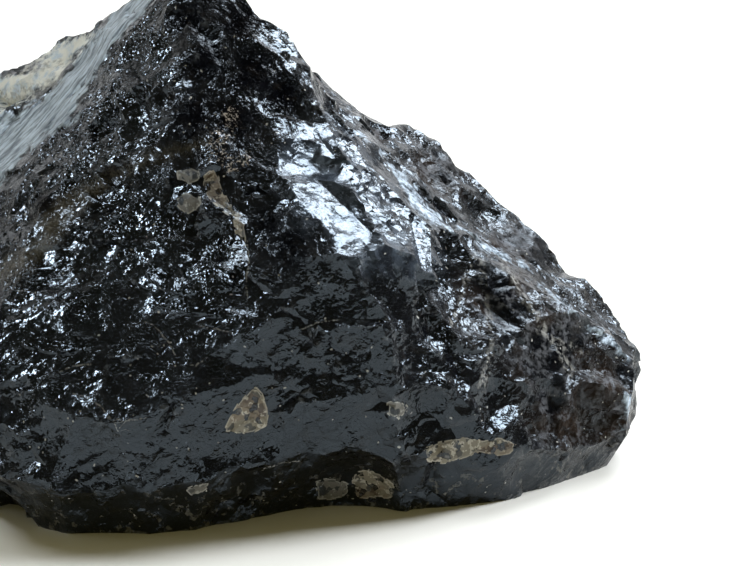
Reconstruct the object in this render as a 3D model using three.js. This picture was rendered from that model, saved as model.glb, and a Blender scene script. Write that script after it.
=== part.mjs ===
// A raw lump of morion, the black variety of quartz, about 163 mm long.
//
// Quartz has no cleavage, so a broken lump is bounded by the faces that the
// breaks left: a few broad ones that meet in ridges, and on them the shallow
// shell-shaped scars and the angular chips that smaller blows leave. The lump is
// built the same way. Fifteen hand-placed lines that run from the summit down to
// the foot give the broad faces. Scars are cut into them as pieces of spheres,
// chips as corners between planes, and treads as small flat steps. The result is
// one closed body with a flat foot to rest on.
//
// Millimetres. +X runs along the length, -Y is the broad front, +Z is up. The
// origin is the middle of the lump's bounding box, at the level of the foot.
import * as THREE from 'three';
import { mergeVertices } from 'three/addons/utils/BufferGeometryUtils.js';

// ---------------------------------------------------------------- dimensions
const SUMMIT = [-14, 9, 99]; // the blunt top
const CORE = [-4, 4, 32]; // an inner point from which all of the skin can be seen

// Lines of points down the skin, in order around the lump (left, front, right,
// back). Each starts under the summit and ends on the foot, at height 0.
const LINES = {
  left_ridge: [
    [-21, 9, 96], [-33, 8, 83], [-38, 6, 74], [-46, 2, 65], [-56, -2, 55],
    [-65, -6, 43], [-72, -10, 27], [-73, -14, 13], [-66, -18, 0],
  ],
  front_left: [
    [-19, 3, 96], [-25, -2, 83], [-29, -7, 74], [-35, -14, 63], [-43, -22, 51],
    [-48, -34, 39], [-50, -44, 25], [-51, -46, 12], [-50, -42, 0],
  ],
  front_left_inner: [
    [-15, 2, 96], [-17, -9, 82], [-19, -18, 70], [-24, -27, 57], [-28, -35, 46],
    [-29, -44, 34], [-31, -51, 22], [-31, -53, 10], [-30, -50, 0],
  ],
  front_middle: [
    [-12, 1, 96], [-10, -12, 81], [-9, -22, 69], [-10, -31, 56], [-10, -39, 44],
    [-10, -46, 34], [-10, -51, 24], [-11, -52, 12], [-13, -48, 0],
  ],
  front_right_inner: [
    [-10, 2, 96], [-4, -10, 81], [1, -19, 69], [5, -30, 58], [8, -40, 49],
    [9, -44, 41], [8, -45, 28], [9, -43, 14], [9, -37, 0],
  ],
  front_right: [
    [-8, 3, 96], [3, -7, 81], [10, -14, 70], [18, -25, 60], [24, -38, 50],
    [25, -42, 41], [26, -44, 27], [27, -44, 12], [28, -39, 0],
  ],
  front_far_right: [
    [-7, 4, 96], [6, -1, 81], [14, -6, 71], [23, -13, 60], [34, -22, 48],
    [40, -31, 38], [42, -37, 25], [44, -39, 12], [47, -34, 0],
  ],
  right_ridge: [
    [-6, 6, 96], [8, 3, 82], [16, 1, 71], [28, -3, 58], [41, -8, 46],
    [56, -12, 36], [73, -18, 23], [73, -21, 11], [68, -18, 0],
  ],
  right_end: [
    [-6, 8, 96], [9, 9, 80], [17, 9, 68], [29, 8, 57], [42, 5, 46],
    [59, 1, 35], [77, -6, 21], [76, -10, 10], [71, -11, 0],
  ],
  shoulder: [
    [-6, 12, 95], [7, 21, 77], [17, 25, 70], [29, 27, 65], [40, 26, 56],
    [53, 21, 44], [72, 9, 28], [78, 1, 14], [66, 8, 0],
  ],
  back_right: [
    [-8, 16, 94], [4, 33, 77], [14, 41, 66], [26, 47, 56], [38, 49, 45],
    [48, 46, 33], [57, 40, 21], [60, 35, 9], [52, 28, 0],
  ],
  back_middle: [
    [-11, 18, 94], [-6, 38, 78], [-4, 47, 68], [0, 53, 58], [4, 56, 46],
    [8, 54, 34], [10, 50, 22], [12, 46, 10], [12, 38, 0],
  ],
  back_left: [
    [-15, 19, 95], [-19, 36, 80], [-24, 45, 71], [-29, 52, 60], [-33, 55, 48],
    [-35, 54, 35], [-35, 51, 22], [-34, 46, 10], [-28, 37, 0],
  ],
  left_back: [
    [-20, 18, 96], [-32, 36, 83], [-40, 44, 76], [-51, 48, 67], [-60, 48, 56],
    [-67, 45, 43], [-70, 38, 29], [-66, 33, 13], [-50, 27, 0],
  ],
  left_ledge: [
    [-24, 15, 96], [-40, 26, 86], [-47, 31, 83], [-57, 35, 77], [-66, 35, 73],
    [-77, 31, 63], [-84, 20, 45], [-83, 9, 25], [-62, 10, 0],
  ],
};

// Large scars, each where one blow took a shell-shaped flake: a point near its
// middle, the radius of its hollow and the depth of the hollow at its middle.
const LARGE_SCARS = [
  { at: [0, -30, 57], radius: 13, depth: 1.6 }, // small dome-shaped hollow under the bright faces
  { at: [-28, -38, 44], radius: 60, depth: 1.6 }, // glassy dark face, left of the middle
  { at: [-14, -48, 36], radius: 36, depth: 1.4 },
  { at: [10, -16, 70], radius: 44, depth: 1.2 }, // bright faces below the right ridge
  { at: [22, -26, 57], radius: 26, depth: 1.4 },
  { at: [14, -43, 32], radius: 44, depth: 1.5 }, // steep face, right of the middle
  { at: [19, -42, 6], radius: 16, depth: 3.2 }, // notch in the lower edge
  { at: [-14, -52, 12], radius: 60, depth: 1.2 },
  { at: [23, 15, 66], radius: 9, depth: 2.4 }, // hollows between the right ridge and the shoulder
  { at: [33, 15, 57], radius: 9, depth: 2.6 },
  { at: [44, 12, 47], radius: 9, depth: 2.4 },
  { at: [57, 7, 38], radius: 9, depth: 2.2 },
  { at: [68, 2, 30], radius: 8, depth: 1.8 },
  { at: [-54, 14, 66], radius: 90, depth: 1.6 }, // long hollow on the left face
  { at: [-72, 6, 44], radius: 60, depth: 1.8 },
  { at: [-10, 44, 66], radius: 70, depth: 3.0 }, // back
  { at: [20, 52, 46], radius: 60, depth: 3.0 },
  { at: [-50, 48, 56], radius: 60, depth: 2.6 },
  { at: [-54, 42, 24], radius: 50, depth: 3.2 },
  { at: [44, 42, 26], radius: 60, depth: 2.6 },
  { at: [10, 46, 14], radius: 50, depth: 2.8 },
  { at: [-78, 16, 14], radius: 30, depth: 3.0 },
  { at: [62, 20, 4], radius: 24, depth: 3.0 },
  { at: [-30, 42, 4], radius: 26, depth: 3.2 },
];

// Treads, small flat steps that look up between steeper breaks: a point of the
// skin, the way the step looks, its depth below that point and its reach.
const TREADS = [
  { at: [12, -18, 65], towards: [0.3, -0.51, 0.81], depth: 1.3, reach: 13 },
  { at: [15, -28, 57], towards: [0.29, -0.5, 0.82], depth: 1.5, reach: 13 },
  { at: [29, -27, 48], towards: [0.25, -0.49, 0.84], depth: 1.7, reach: 12 },
  { at: [-4, -38, 48], towards: [0.2, -0.62, 0.76], depth: 0.8, reach: 5 },
  { at: [21, -11, 62], towards: [0.31, -0.47, 0.83], depth: 1.3, reach: 9 },
];

// Places that broke in one clean face, where no scattered cut starts: a point
// and how far the place spreads.
const QUIET_PLACES = [
  { at: [-33, 7, 80], spread: 11 }, // the bevel along the left ridge
  { at: [-41, 3, 70], spread: 12 },
  { at: [-51, 4, 62], spread: 12 },
  { at: [13, -17, 65], spread: 12 }, // treads and the dome below them
  { at: [15, -28, 57], spread: 12 },
  { at: [29, -27, 48], spread: 11 },
  { at: [4, -35, 54], spread: 7 },
  { at: [-13, -45, 34], spread: 13 }, // glassy faces, low on the front
  { at: [-32, -43, 38], spread: 12 },
  { at: [-9, -50, 18], spread: 14 },
  { at: [13, -43, 14], spread: 13 },
  { at: [40, -38, 12], spread: 10 },
  { at: [23, -42, 36], spread: 9 },
  { at: [-34, -52, 16], spread: 10 },
  { at: [27, -10, 56], spread: 6 }, // the bevel below the right ridge
];

// Small scars, scattered over the whole skin.
const SMALL_SCARS = {
  count: 170,
  radius: [18, 64],
  depth: [0.4, 1.3],
  tip: 0.5, // how much deeper one edge may go, where the blow came at a slant
  rarity: 2, // how much rarer large scars are than small ones
  sizeInDepth: 0.6, // how far a scar's size sets its depth
};

// Chips, scattered as well: three flat cuts that meet in a point below the skin,
// a nearly level floor between two steep walls.
const CHIPS = {
  count: 420,
  depth: [0.5, 2.3],
  reach: [9, 34], // distance from the middle to the rim
  floorTilt: [8, 20], // degrees from the skin
  wallTilt: [18, 42],
  turnSpread: 28, // degrees by which the walls stray from even thirds of a turn
  rarity: 1.5, // how much rarer large chips are than small ones
  reference: [0.3, 0.2, 0.93], // the walls' turns are counted from square to this
};
const BOWL_DEPTH = 1.6; // a chip's rim is a bowl this many times as deep as the chip
const RISER_TILT = 24; // degrees from the skin, for the steep side of a tread
const CUT_HEIGHTS = [5, 92]; // scattered cuts start between these heights
const CUT_SEED = 8;
const CUT_ALLOWANCE = 1.1; // the faces start this far out, for the cuts to eat back

// The broken skin is rough in itself, more in some places than in others.
const ROUGHNESS = [0.1, 0.85]; // how far a grid point may sink
const ROUGH_PATCH = 26; // size of the rough and the smooth places
const ROUGH_WAVES = [ // three waves that cross: the way each one runs, and where it starts
  { across: [1.6, 0.7, 0.9], start: 0.4 },
  { across: [-0.8, 1.7, 1.1], start: 2.1 },
  { across: [0.5, -0.9, 2.2], start: 4.0 },
];

// The skin is a box grid blown out onto the lump.
const GRID_CELLS = 28; // along each edge of the box
const GRID_PROPORTIONS = [84, 56, 52]; // spaces the grid evenly on the long lump
const EDGE_HOLD = 0.06; // how strongly a point keeps to the middle of its cell
const CELL_REACH = 0.42; // how far it may move in its cell, so that no face folds
const EDGE_OVERSHOOT = 0.7; // how far it may stand beyond the skin around it
const EDGE_ON = 0.12; // a triangle of the skin that faces outward less than this is edge-on
const FOOT_TOLERANCE = 0.05; // points this near height 0, or below it, belong to the foot

const MORION = new THREE.MeshStandardMaterial({ color: 0x17181b, roughness: 0.16, metalness: 0 });

// ------------------------------------------------------------- broad faces
const toVector = (p) => new THREE.Vector3(...p);
const core = toVector(CORE);
const DOWN = new THREE.Vector3(0, 0, -1);

// Triangles between neighbouring lines, with a fan at the summit. A second fan
// closes them far below the foot, which is cut flat later.
function broadFaces() {
  const lines = Object.values(LINES).map((line) => line.map(toVector));
  const summit = toVector(SUMMIT);
  const below = new THREE.Vector3(core.x, core.y, -core.z);
  const faces = [];
  lines.forEach((line, i) => {
    const next = lines[(i + 1) % lines.length];
    const last = line.length - 1;
    faces.push(new THREE.Triangle(summit, line[0], next[0]));
    for (let row = 0; row < last; row++) {
      faces.push(...splitQuad(line[row], line[row + 1], next[row + 1], next[row]));
    }
    faces.push(new THREE.Triangle(line[last], below, next[last]));
  });
  return faces.map((face) => ({ face, normal: face.getNormal(new THREE.Vector3()) }));
}

// Two triangles from four corners, parted along the shorter diagonal.
function splitQuad(a, b, c, d) {
  if (a.distanceTo(c) < b.distanceTo(d)) return [new THREE.Triangle(a, b, c), new THREE.Triangle(a, c, d)];
  return [new THREE.Triangle(a, b, d), new THREE.Triangle(b, c, d)];
}

const faces = broadFaces();

// The broad face, or the flat foot, that a ray from the core leaves through.
function leaveBroadFaces(direction) {
  const ray = new THREE.Ray(core, direction);
  const hit = new THREE.Vector3();
  let reach = 0;
  let normal = null;
  for (const { face, normal: outward } of faces) {
    if (!ray.intersectTriangle(face.a, face.b, face.c, false, hit)) continue;
    const distance = hit.distanceTo(core);
    if (distance > reach) [reach, normal] = [distance, outward];
  }
  reach += CUT_ALLOWANCE;
  const toFoot = direction.z < 0 ? -core.z / direction.z : Infinity;
  if (toFoot < reach) [reach, normal] = [toFoot, DOWN];
  return { reach, normal };
}

// ------------------------------------------------------------------- scars
// A repeatable random number from 0 to 1 (the mulberry32 generator).
function randomSource(seed) {
  let state = seed;
  return () => {
    state = (state + 0x6d2b79f5) | 0;
    let t = Math.imul(state ^ (state >>> 15), 1 | state);
    t = (t + Math.imul(t ^ (t >>> 7), 61 | t)) ^ t;
    return ((t ^ (t >>> 14)) >>> 0) / 4294967296;
  };
}

const random = randomSource(CUT_SEED);
const pick = ([low, high]) => low + (high - low) * random();
const between = ([low, high], share) => low + (high - low) * share;
const degrees = THREE.MathUtils.degToRad;

// A point of the skin and its outward direction, found from any point outside.
function skinNear(at) {
  const direction = at.clone().sub(core).normalize();
  const { reach, normal } = leaveBroadFaces(direction);
  return { middle: direction.multiplyScalar(reach).add(core), outward: normal.clone() };
}

// A point of the skin, evenly spread over its whole area.
const areas = faces.map(({ face }) => face.getArea());
const wholeArea = areas.reduce((sum, area) => sum + area, 0);

function randomSkin() {
  for (;;) {
    let left = random() * wholeArea;
    const { face } = faces[areas.findIndex((area) => (left -= area) < 0)];
    const along = Math.sqrt(random());
    const across = random();
    const at = face.a.clone().lerp(face.b.clone().lerp(face.c, across), along);
    const skin = skinNear(at);
    if (at.z > CUT_HEIGHTS[0] && at.z < CUT_HEIGHTS[1]) return skin;
  }
}

// A scar is a hollow left by the near side of a sphere.
function scar({ middle, outward }, radius, depth, tip = 0) {
  const lean = Math.sqrt((2 * tip) / radius);
  const sideways = new THREE.Vector3(pick([-lean, lean]), pick([-lean, lean]), pick([-lean, lean]));
  const centre = outward.add(sideways).normalize().multiplyScalar(radius - depth).add(middle);
  return { start: middle, ball: { centre, radius }, planes: [] };
}

function smallScar() {
  const size = random() ** SMALL_SCARS.rarity;
  const share = SMALL_SCARS.sizeInDepth * size + (1 - SMALL_SCARS.sizeInDepth) * random();
  const depth = between(SMALL_SCARS.depth, share);
  return scar(randomSkin(), between(SMALL_SCARS.radius, size), depth, SMALL_SCARS.tip);
}

// A ball that meets the skin in a circle, and goes a given depth below its middle.
function bowl({ middle, outward }, reach, deep) {
  const radius = (reach * reach + deep * deep) / (2 * deep);
  return { centre: middle.clone().addScaledVector(outward, radius - deep), radius };
}

// A plane that leans from the skin by some degrees, through a given point.
function leaningPlane(outward, away, tilt, through) {
  const lean = degrees(tilt);
  const normal = outward.clone().multiplyScalar(Math.cos(lean)).addScaledVector(away, Math.sin(lean));
  return { normal, distance: through.clone().sub(core).dot(normal) };
}

// A chip is bounded by three planes through its deepest point, and by a bowl.
function chip() {
  const skin = randomSkin();
  const { middle, outward } = skin;
  const size = random() ** CHIPS.rarity;
  const depth = between(CHIPS.depth, size);
  const deepest = middle.clone().addScaledVector(outward, -depth);
  const level = new THREE.Vector3().crossVectors(outward, toVector(CHIPS.reference)).normalize();
  const start = pick([0, 360]);
  const planes = [CHIPS.floorTilt, CHIPS.wallTilt, CHIPS.wallTilt].map((tilt, third) => {
    const turn = degrees(start + 120 * third + pick([-CHIPS.turnSpread, CHIPS.turnSpread]));
    return leaningPlane(outward, level.clone().applyAxisAngle(outward, turn), pick(tilt), deepest);
  });
  return { start: middle, ball: bowl(skin, between(CHIPS.reach, size), BOWL_DEPTH * depth), planes };
}

// A tread has one plane that looks a given way, a steeper one beside it, and a bowl.
function tread({ at, towards, depth, reach }) {
  const skin = skinNear(toVector(at));
  const deepest = skin.middle.clone().addScaledVector(skin.outward, -depth);
  const normal = toVector(towards).normalize();
  const away = normal.clone().projectOnPlane(skin.outward).normalize().negate();
  const planes = [
    { normal, distance: deepest.clone().sub(core).dot(normal) },
    leaningPlane(skin.outward, away, RISER_TILT, deepest),
  ];
  return { start: skin.middle, ball: bowl(skin, reach, BOWL_DEPTH * depth), planes };
}

const quiet = (point) => QUIET_PLACES.some(({ at, spread }) => point.distanceTo(toVector(at)) < spread);
const repeat = (count, make) => Array.from({ length: count }, make);
const placed = LARGE_SCARS.map(({ at, radius, depth }) => scar(skinNear(toVector(at)), radius, depth));
const scattered = [...repeat(SMALL_SCARS.count, smallScar), ...repeat(CHIPS.count, chip)];
const cuts = [...placed, ...TREADS.map(tread), ...scattered.filter(({ start }) => !quiet(start))];

// How far along a ray the stone ends because of a cut: where the ray has gone
// into the ball and through every plane. Null where the ray misses the cut.
function meetCut({ ball, planes }, direction) {
  const offset = ball.centre.clone().sub(core);
  const along = offset.dot(direction);
  const inside = along * along - offset.lengthSq() + ball.radius ** 2;
  if (along <= 0 || inside <= 0) return null;
  const exit = along + Math.sqrt(inside);
  let reach = along - Math.sqrt(inside);
  let normal = null;
  for (const plane of planes) {
    const slope = plane.normal.dot(direction);
    const distance = slope > 0 ? plane.distance / slope : Infinity;
    if (distance > reach) [reach, normal] = [distance, plane.normal];
  }
  if (reach > exit) return null;
  return { reach, normal: normal ?? offset.addScaledVector(direction, -reach).normalize() };
}

// Where a ray from the core leaves the scarred lump, and which way it faces.
function leaveStone(direction) {
  let { reach, normal } = leaveBroadFaces(direction);
  for (const cut of cuts) {
    const met = meetCut(cut, direction);
    if (met && met.reach < reach) ({ reach, normal } = met);
  }
  return { point: direction.clone().multiplyScalar(reach).add(core), normal };
}

// -------------------------------------------------------------------- skin
const AXES = ['x', 'y', 'z'];
const quarterTurn = Math.PI / 4;

// Which side of the box a grid point lies on, and its two places across it.
function boxSide(point) {
  const across = AXES.find((axis) => Math.abs(Math.abs(point[axis]) - 1) < 1e-6);
  const [first, second] = AXES.filter((axis) => axis !== across);
  return { across, first, second, sign: Math.sign(point[across]), u: point[first], v: point[second] };
}

// The direction from the core for a place (u, v) on a side of the box. Equal
// steps of u and v give nearly equal turns of the direction.
function sideDirection(side, u, v) {
  const direction = new THREE.Vector3();
  direction[side.across] = side.sign;
  direction[side.first] = Math.tan(quarterTurn * u);
  direction[side.second] = Math.tan(quarterTurn * v);
  return direction.multiply(toVector(GRID_PROPORTIONS)).normalize();
}

// The point nearest to the flat skins at the four corners of a cell. Across a
// ridge that is a point on the ridge itself, so edges stay sharp.
function sharpPoint(side, step) {
  const middle = leaveStone(sideDirection(side, side.u, side.v));
  const matrix = [EDGE_HOLD, 0, 0, 0, EDGE_HOLD, 0, 0, 0, EDGE_HOLD];
  const right = middle.point.clone().multiplyScalar(EDGE_HOLD);
  const corners = [[-0.5, -0.5], [0.5, -0.5], [-0.5, 0.5], [0.5, 0.5]];
  const samples = corners.map(([du, dv]) => {
    return leaveStone(sideDirection(side, side.u + du * step, side.v + dv * step));
  });
  for (const { point, normal } of samples) {
    const n = normal.toArray();
    for (let i = 0; i < 9; i++) matrix[i] += n[Math.floor(i / 3)] * n[i % 3];
    right.addScaledVector(normal, normal.dot(point));
  }
  const sharp = right.applyMatrix3(new THREE.Matrix3().set(...matrix).invert());
  const reaches = samples.map(({ point }) => point.distanceTo(core));
  return keepInCell(sharp, side, step, Math.min(...reaches), Math.max(...reaches));
}

function keepInCell(point, side, step, shortest, longest) {
  const offset = point.clone().sub(core);
  const length = THREE.MathUtils.clamp(offset.length(), shortest - EDGE_OVERSHOOT, longest + EDGE_OVERSHOOT);
  offset.divide(toVector(GRID_PROPORTIONS));
  const limit = CELL_REACH * step;
  const place = (axis, from) => {
    const value = Math.atan(offset[axis] / Math.abs(offset[side.across])) / quarterTurn;
    return THREE.MathUtils.clamp(value, from - limit, from + limit);
  };
  const direction = sideDirection(side, place(side.first, side.u), place(side.second, side.v));
  return direction.multiplyScalar(length).add(core);
}

// How squarely a triangle of the skin looks away from the core, from -1 to 1.
function facing(a, b, c) {
  const triangle = new THREE.Triangle(a, b, c);
  const away = triangle.getMidpoint(new THREE.Vector3()).sub(core).normalize();
  return triangle.getNormal(new THREE.Vector3()).dot(away);
}

// How far the middle of a diagonal lies from the skin.
function gapAtMiddle(from, to) {
  const away = from.clone().lerp(to, 0.5).sub(core);
  return Math.abs(away.length() - leaveStone(away.clone().normalize()).point.distanceTo(core));
}

// Parts each cell of the grid along one of its two diagonals: the one that lies
// nearer to the skin, unless a triangle of it would be almost edge-on.
function chooseDiagonals(index, points) {
  const chosen = [];
  for (let i = 0; i < index.length; i += 6) {
    const [a, b, d, , c] = index.slice(i, i + 5);
    const [pa, pb, pc, pd] = [a, b, c, d].map((corner) => points[corner]);
    const open = Math.min(facing(pa, pb, pd), facing(pb, pc, pd));
    const openOther = Math.min(facing(pa, pb, pc), facing(pa, pc, pd));
    const nearer = gapAtMiddle(pb, pd) <= gapAtMiddle(pa, pc);
    const useFirst = Math.min(open, openOther) < EDGE_ON ? open >= openOther : nearer;
    if (useFirst) chosen.push(a, b, d, b, c, d);
    else chosen.push(a, b, c, a, c, d);
  }
  return chosen;
}

// Slow waves across the lump, from 0 in its smoothest places to 1 in its roughest.
function roughPlace({ x, y, z }) {
  const place = new THREE.Vector3(x, y, z);
  const waves = ROUGH_WAVES.map(({ across, start }) => {
    return Math.sin(toVector(across).dot(place) / ROUGH_PATCH + start);
  });
  const sum = waves.reduce((total, wave) => total + wave);
  return THREE.MathUtils.clamp((1 + sum / 2) / 2, 0, 1);
}

// Sinks a point of the skin towards the core by a random part of the roughness.
function roughen(point) {
  const sink = between(ROUGHNESS, roughPlace(point)) * random();
  if (point.z < FOOT_TOLERANCE) return point;
  const way = point.clone().sub(core);
  return way.setLength(way.length() - sink).add(core);
}

function stoneGeometry() {
  const box = new THREE.BoxGeometry(2, 2, 2, GRID_CELLS, GRID_CELLS, GRID_CELLS);
  box.deleteAttribute('normal');
  box.deleteAttribute('uv');
  const grid = mergeVertices(box);
  const step = 2 / GRID_CELLS;
  const positions = grid.getAttribute('position');
  const points = [];
  for (let i = 0; i < positions.count; i++) {
    const side = boxSide(new THREE.Vector3().fromBufferAttribute(positions, i));
    points.push(sharpPoint(side, step));
  }
  grid.setIndex(chooseDiagonals(Array.from(grid.getIndex().array), points));
  points.map(roughen).forEach((point, i) => {
    const height = point.z < FOOT_TOLERANCE ? 0 : point.z;
    positions.setXYZ(i, point.x, point.y, height);
  });
  grid.computeBoundingBox();
  const middle = grid.boundingBox.getCenter(new THREE.Vector3());
  grid.translate(-middle.x, -middle.y, -grid.boundingBox.min.z);
  grid.computeVertexNormals();
  return grid;
}

// -------------------------------------------------------------- the object
const stone = new THREE.Mesh(stoneGeometry(), MORION);
stone.name = 'morion_stone';

const group = new THREE.Group();
group.add(stone);

export default group;
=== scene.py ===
# %% [markdown]
# # A raw lump of morion, the black variety of quartz
#
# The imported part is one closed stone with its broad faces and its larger
# breaks. This lesson dresses it: the same breaks on a grid more than four times
# as fine along each edge, thousands of small flakes and chips, and the glassy
# black surface.

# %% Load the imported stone
import math
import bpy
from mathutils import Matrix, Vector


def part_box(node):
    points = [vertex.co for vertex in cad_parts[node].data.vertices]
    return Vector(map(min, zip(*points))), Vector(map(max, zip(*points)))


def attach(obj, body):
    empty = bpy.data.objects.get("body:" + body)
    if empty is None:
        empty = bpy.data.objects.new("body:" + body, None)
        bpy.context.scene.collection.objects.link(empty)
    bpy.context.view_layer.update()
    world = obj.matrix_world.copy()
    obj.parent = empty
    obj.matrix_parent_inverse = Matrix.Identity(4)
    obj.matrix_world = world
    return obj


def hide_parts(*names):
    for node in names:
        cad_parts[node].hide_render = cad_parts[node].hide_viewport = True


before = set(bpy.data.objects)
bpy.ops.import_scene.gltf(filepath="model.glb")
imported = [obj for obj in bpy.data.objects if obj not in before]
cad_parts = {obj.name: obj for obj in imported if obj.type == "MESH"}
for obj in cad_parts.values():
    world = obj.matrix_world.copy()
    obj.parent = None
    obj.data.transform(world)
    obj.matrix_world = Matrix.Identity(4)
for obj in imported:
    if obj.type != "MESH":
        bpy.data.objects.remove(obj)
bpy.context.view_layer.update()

from types import SimpleNamespace

import bpy
import numpy as np
from mathutils import Vector

MM = 0.001  # the shape is worked out in millimetres, and the scene is in metres

# %% [markdown]
# ## The camera
#
# The lump is looked at from a little above its middle, close enough that its
# left end leaves the frame. A camera looks down its own -Z, so a level camera
# is turned 90 degrees about X, and this one a little less.

# %% Place the camera
VIEW_ELEVATION = 15.0  # degrees
CAMERA_PLACE = Vector((24.836, -268.044, 105.3)) * MM
LENS = 62.0  # millimetres
SENSOR = 36.0
IMAGE_SIZE = (755, 566)  # pixels

camera_data = bpy.data.cameras.new("camera")
camera_data.lens = LENS
camera_data.sensor_width = SENSOR
camera_data.clip_start = 0.01
camera_data.clip_end = 50.0
camera = bpy.data.objects.new("camera", camera_data)
camera.location = CAMERA_PLACE
camera.rotation_euler = (math.radians(90.0 - VIEW_ELEVATION), 0.0, 0.0)
bpy.context.collection.objects.link(camera)
bpy.context.scene.camera = camera
print("camera placed", round(camera.location.length, 3), "metres from the origin")

# %% [markdown]
# ## How the lump was broken
#
# Quartz has no cleavage. A few big breaks left broad faces that meet in
# ridges, and smaller blows left shell-shaped scars and angular chips in them.
# The numbers below are the driving dimensions of the lump: lines down the
# skin, and the scars that are large enough to place one by one.

# %% The lump's driving dimensions
SUMMIT = (-14, 9, 99)  # the blunt top
CORE = np.array([-4.0, 4.0, 32.0])  # an inner point from which all of the skin is seen

# Lines down the skin, in order around the lump (left, front, right, back).
LINES = {
    "left_ridge": [(-21, 9, 96), (-33, 8, 83), (-38, 6, 74), (-46, 2, 65), (-56, -2, 55), (-65, -6, 43),
                   (-72, -10, 27), (-73, -14, 13), (-66, -18, 0)],
    "front_left": [(-19, 3, 96), (-25, -2, 83), (-29, -7, 74), (-35, -14, 63), (-43, -22, 51), (-48, -34, 39),
                   (-50, -44, 25), (-51, -46, 12), (-50, -42, 0)],
    "front_left_inner": [(-15, 2, 96), (-17, -9, 82), (-19, -18, 70), (-24, -27, 57), (-28, -35, 46),
                         (-29, -44, 34), (-31, -51, 22), (-31, -53, 10), (-30, -50, 0)],
    "front_middle": [(-12, 1, 96), (-10, -12, 81), (-9, -22, 69), (-10, -31, 56), (-10, -39, 44),
                     (-10, -46, 34), (-10, -51, 24), (-11, -52, 12), (-13, -48, 0)],
    "front_right_inner": [(-10, 2, 96), (-4, -10, 81), (1, -19, 69), (5, -30, 58), (8, -40, 49), (9, -44, 41),
                          (8, -45, 28), (9, -43, 14), (9, -37, 0)],
    "front_right": [(-8, 3, 96), (3, -7, 81), (10, -14, 70), (18, -25, 60), (24, -38, 50), (25, -42, 41),
                    (26, -44, 27), (27, -44, 12), (28, -39, 0)],
    "front_far_right": [(-7, 4, 96), (6, -1, 81), (14, -6, 71), (23, -13, 60), (34, -22, 48), (40, -31, 38),
                        (42, -37, 25), (44, -39, 12), (47, -34, 0)],
    "right_ridge": [(-6, 6, 96), (8, 3, 82), (16, 1, 71), (28, -3, 58), (41, -8, 46), (56, -12, 36),
                    (73, -18, 23), (73, -21, 11), (68, -18, 0)],
    "right_end": [(-6, 8, 96), (9, 9, 80), (17, 9, 68), (29, 8, 57), (42, 5, 46), (59, 1, 35), (77, -6, 21),
                  (76, -10, 10), (71, -11, 0)],
    "shoulder": [(-6, 12, 95), (7, 21, 77), (17, 25, 70), (29, 27, 65), (40, 26, 56), (53, 21, 44),
                 (72, 9, 28), (78, 1, 14), (66, 8, 0)],
    "back_right": [(-8, 16, 94), (4, 33, 77), (14, 41, 66), (26, 47, 56), (38, 49, 45), (48, 46, 33),
                   (57, 40, 21), (60, 35, 9), (52, 28, 0)],
    "back_middle": [(-11, 18, 94), (-6, 38, 78), (-4, 47, 68), (0, 53, 58), (4, 56, 46), (8, 54, 34),
                    (10, 50, 22), (12, 46, 10), (12, 38, 0)],
    "back_left": [(-15, 19, 95), (-19, 36, 80), (-24, 45, 71), (-29, 52, 60), (-33, 55, 48), (-35, 54, 35),
                  (-35, 51, 22), (-34, 46, 10), (-28, 37, 0)],
    "left_back": [(-20, 18, 96), (-32, 36, 83), (-40, 44, 76), (-51, 48, 67), (-60, 48, 56), (-67, 45, 43),
                  (-70, 38, 29), (-66, 33, 13), (-50, 27, 0)],
    "left_ledge": [(-24, 15, 96), (-40, 26, 86), (-47, 31, 83), (-57, 35, 77), (-66, 35, 73), (-77, 31, 63),
                   (-84, 20, 45), (-83, 9, 25), (-62, 10, 0)],
}

# Large scars: a point near the middle, the radius of the hollow and its depth.
LARGE_SCARS = [
    ((0, -30, 57), 13, 1.6), ((-28, -38, 44), 60, 1.6), ((-14, -48, 36), 36, 1.4), ((10, -16, 70), 44, 1.2),
    ((22, -26, 57), 26, 1.4), ((14, -43, 32), 44, 1.5), ((19, -42, 6), 16, 3.2), ((-14, -52, 12), 60, 1.2),
    ((23, 15, 66), 9, 2.4), ((33, 15, 57), 9, 2.6), ((44, 12, 47), 9, 2.4), ((57, 7, 38), 9, 2.2),
    ((68, 2, 30), 8, 1.8), ((-54, 14, 66), 90, 1.6), ((-72, 6, 44), 60, 1.8), ((-10, 44, 66), 70, 3.0),
    ((20, 52, 46), 60, 3.0), ((-50, 48, 56), 60, 2.6), ((-54, 42, 24), 50, 3.2), ((44, 42, 26), 60, 2.6),
    ((10, 46, 14), 50, 2.8), ((-78, 16, 14), 30, 3.0), ((62, 20, 4), 24, 3.0), ((-30, 42, 4), 26, 3.2),
]
# Treads: small flat steps that look up between steeper breaks: a point of the
# skin, the way the step looks, its depth below that point and its reach.
TREADS = [
    ((12, -18, 65), (0.30, -0.51, 0.81), 1.3, 13), ((15, -28, 57), (0.29, -0.50, 0.82), 1.5, 13),
    ((29, -27, 48), (0.25, -0.49, 0.84), 1.7, 12), ((-4, -38, 48), (0.20, -0.62, 0.76), 0.8, 5),
    ((21, -11, 62), (0.31, -0.47, 0.83), 1.3, 9),
]
# Places that broke in one clean face: a point and how far it spreads.
QUIET_PLACES = [
    ((-33, 7, 80), 11), ((-41, 3, 70), 12), ((-51, 4, 62), 12), ((13, -17, 65), 12), ((15, -28, 57), 12),
    ((29, -27, 48), 11), ((4, -35, 54), 7), ((-13, -45, 34), 13), ((-32, -43, 38), 12), ((-9, -50, 18), 14),
    ((13, -43, 14), 13), ((40, -38, 12), 10), ((23, -42, 36), 9), ((-34, -52, 16), 10), ((27, -10, 56), 6),
]
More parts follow.
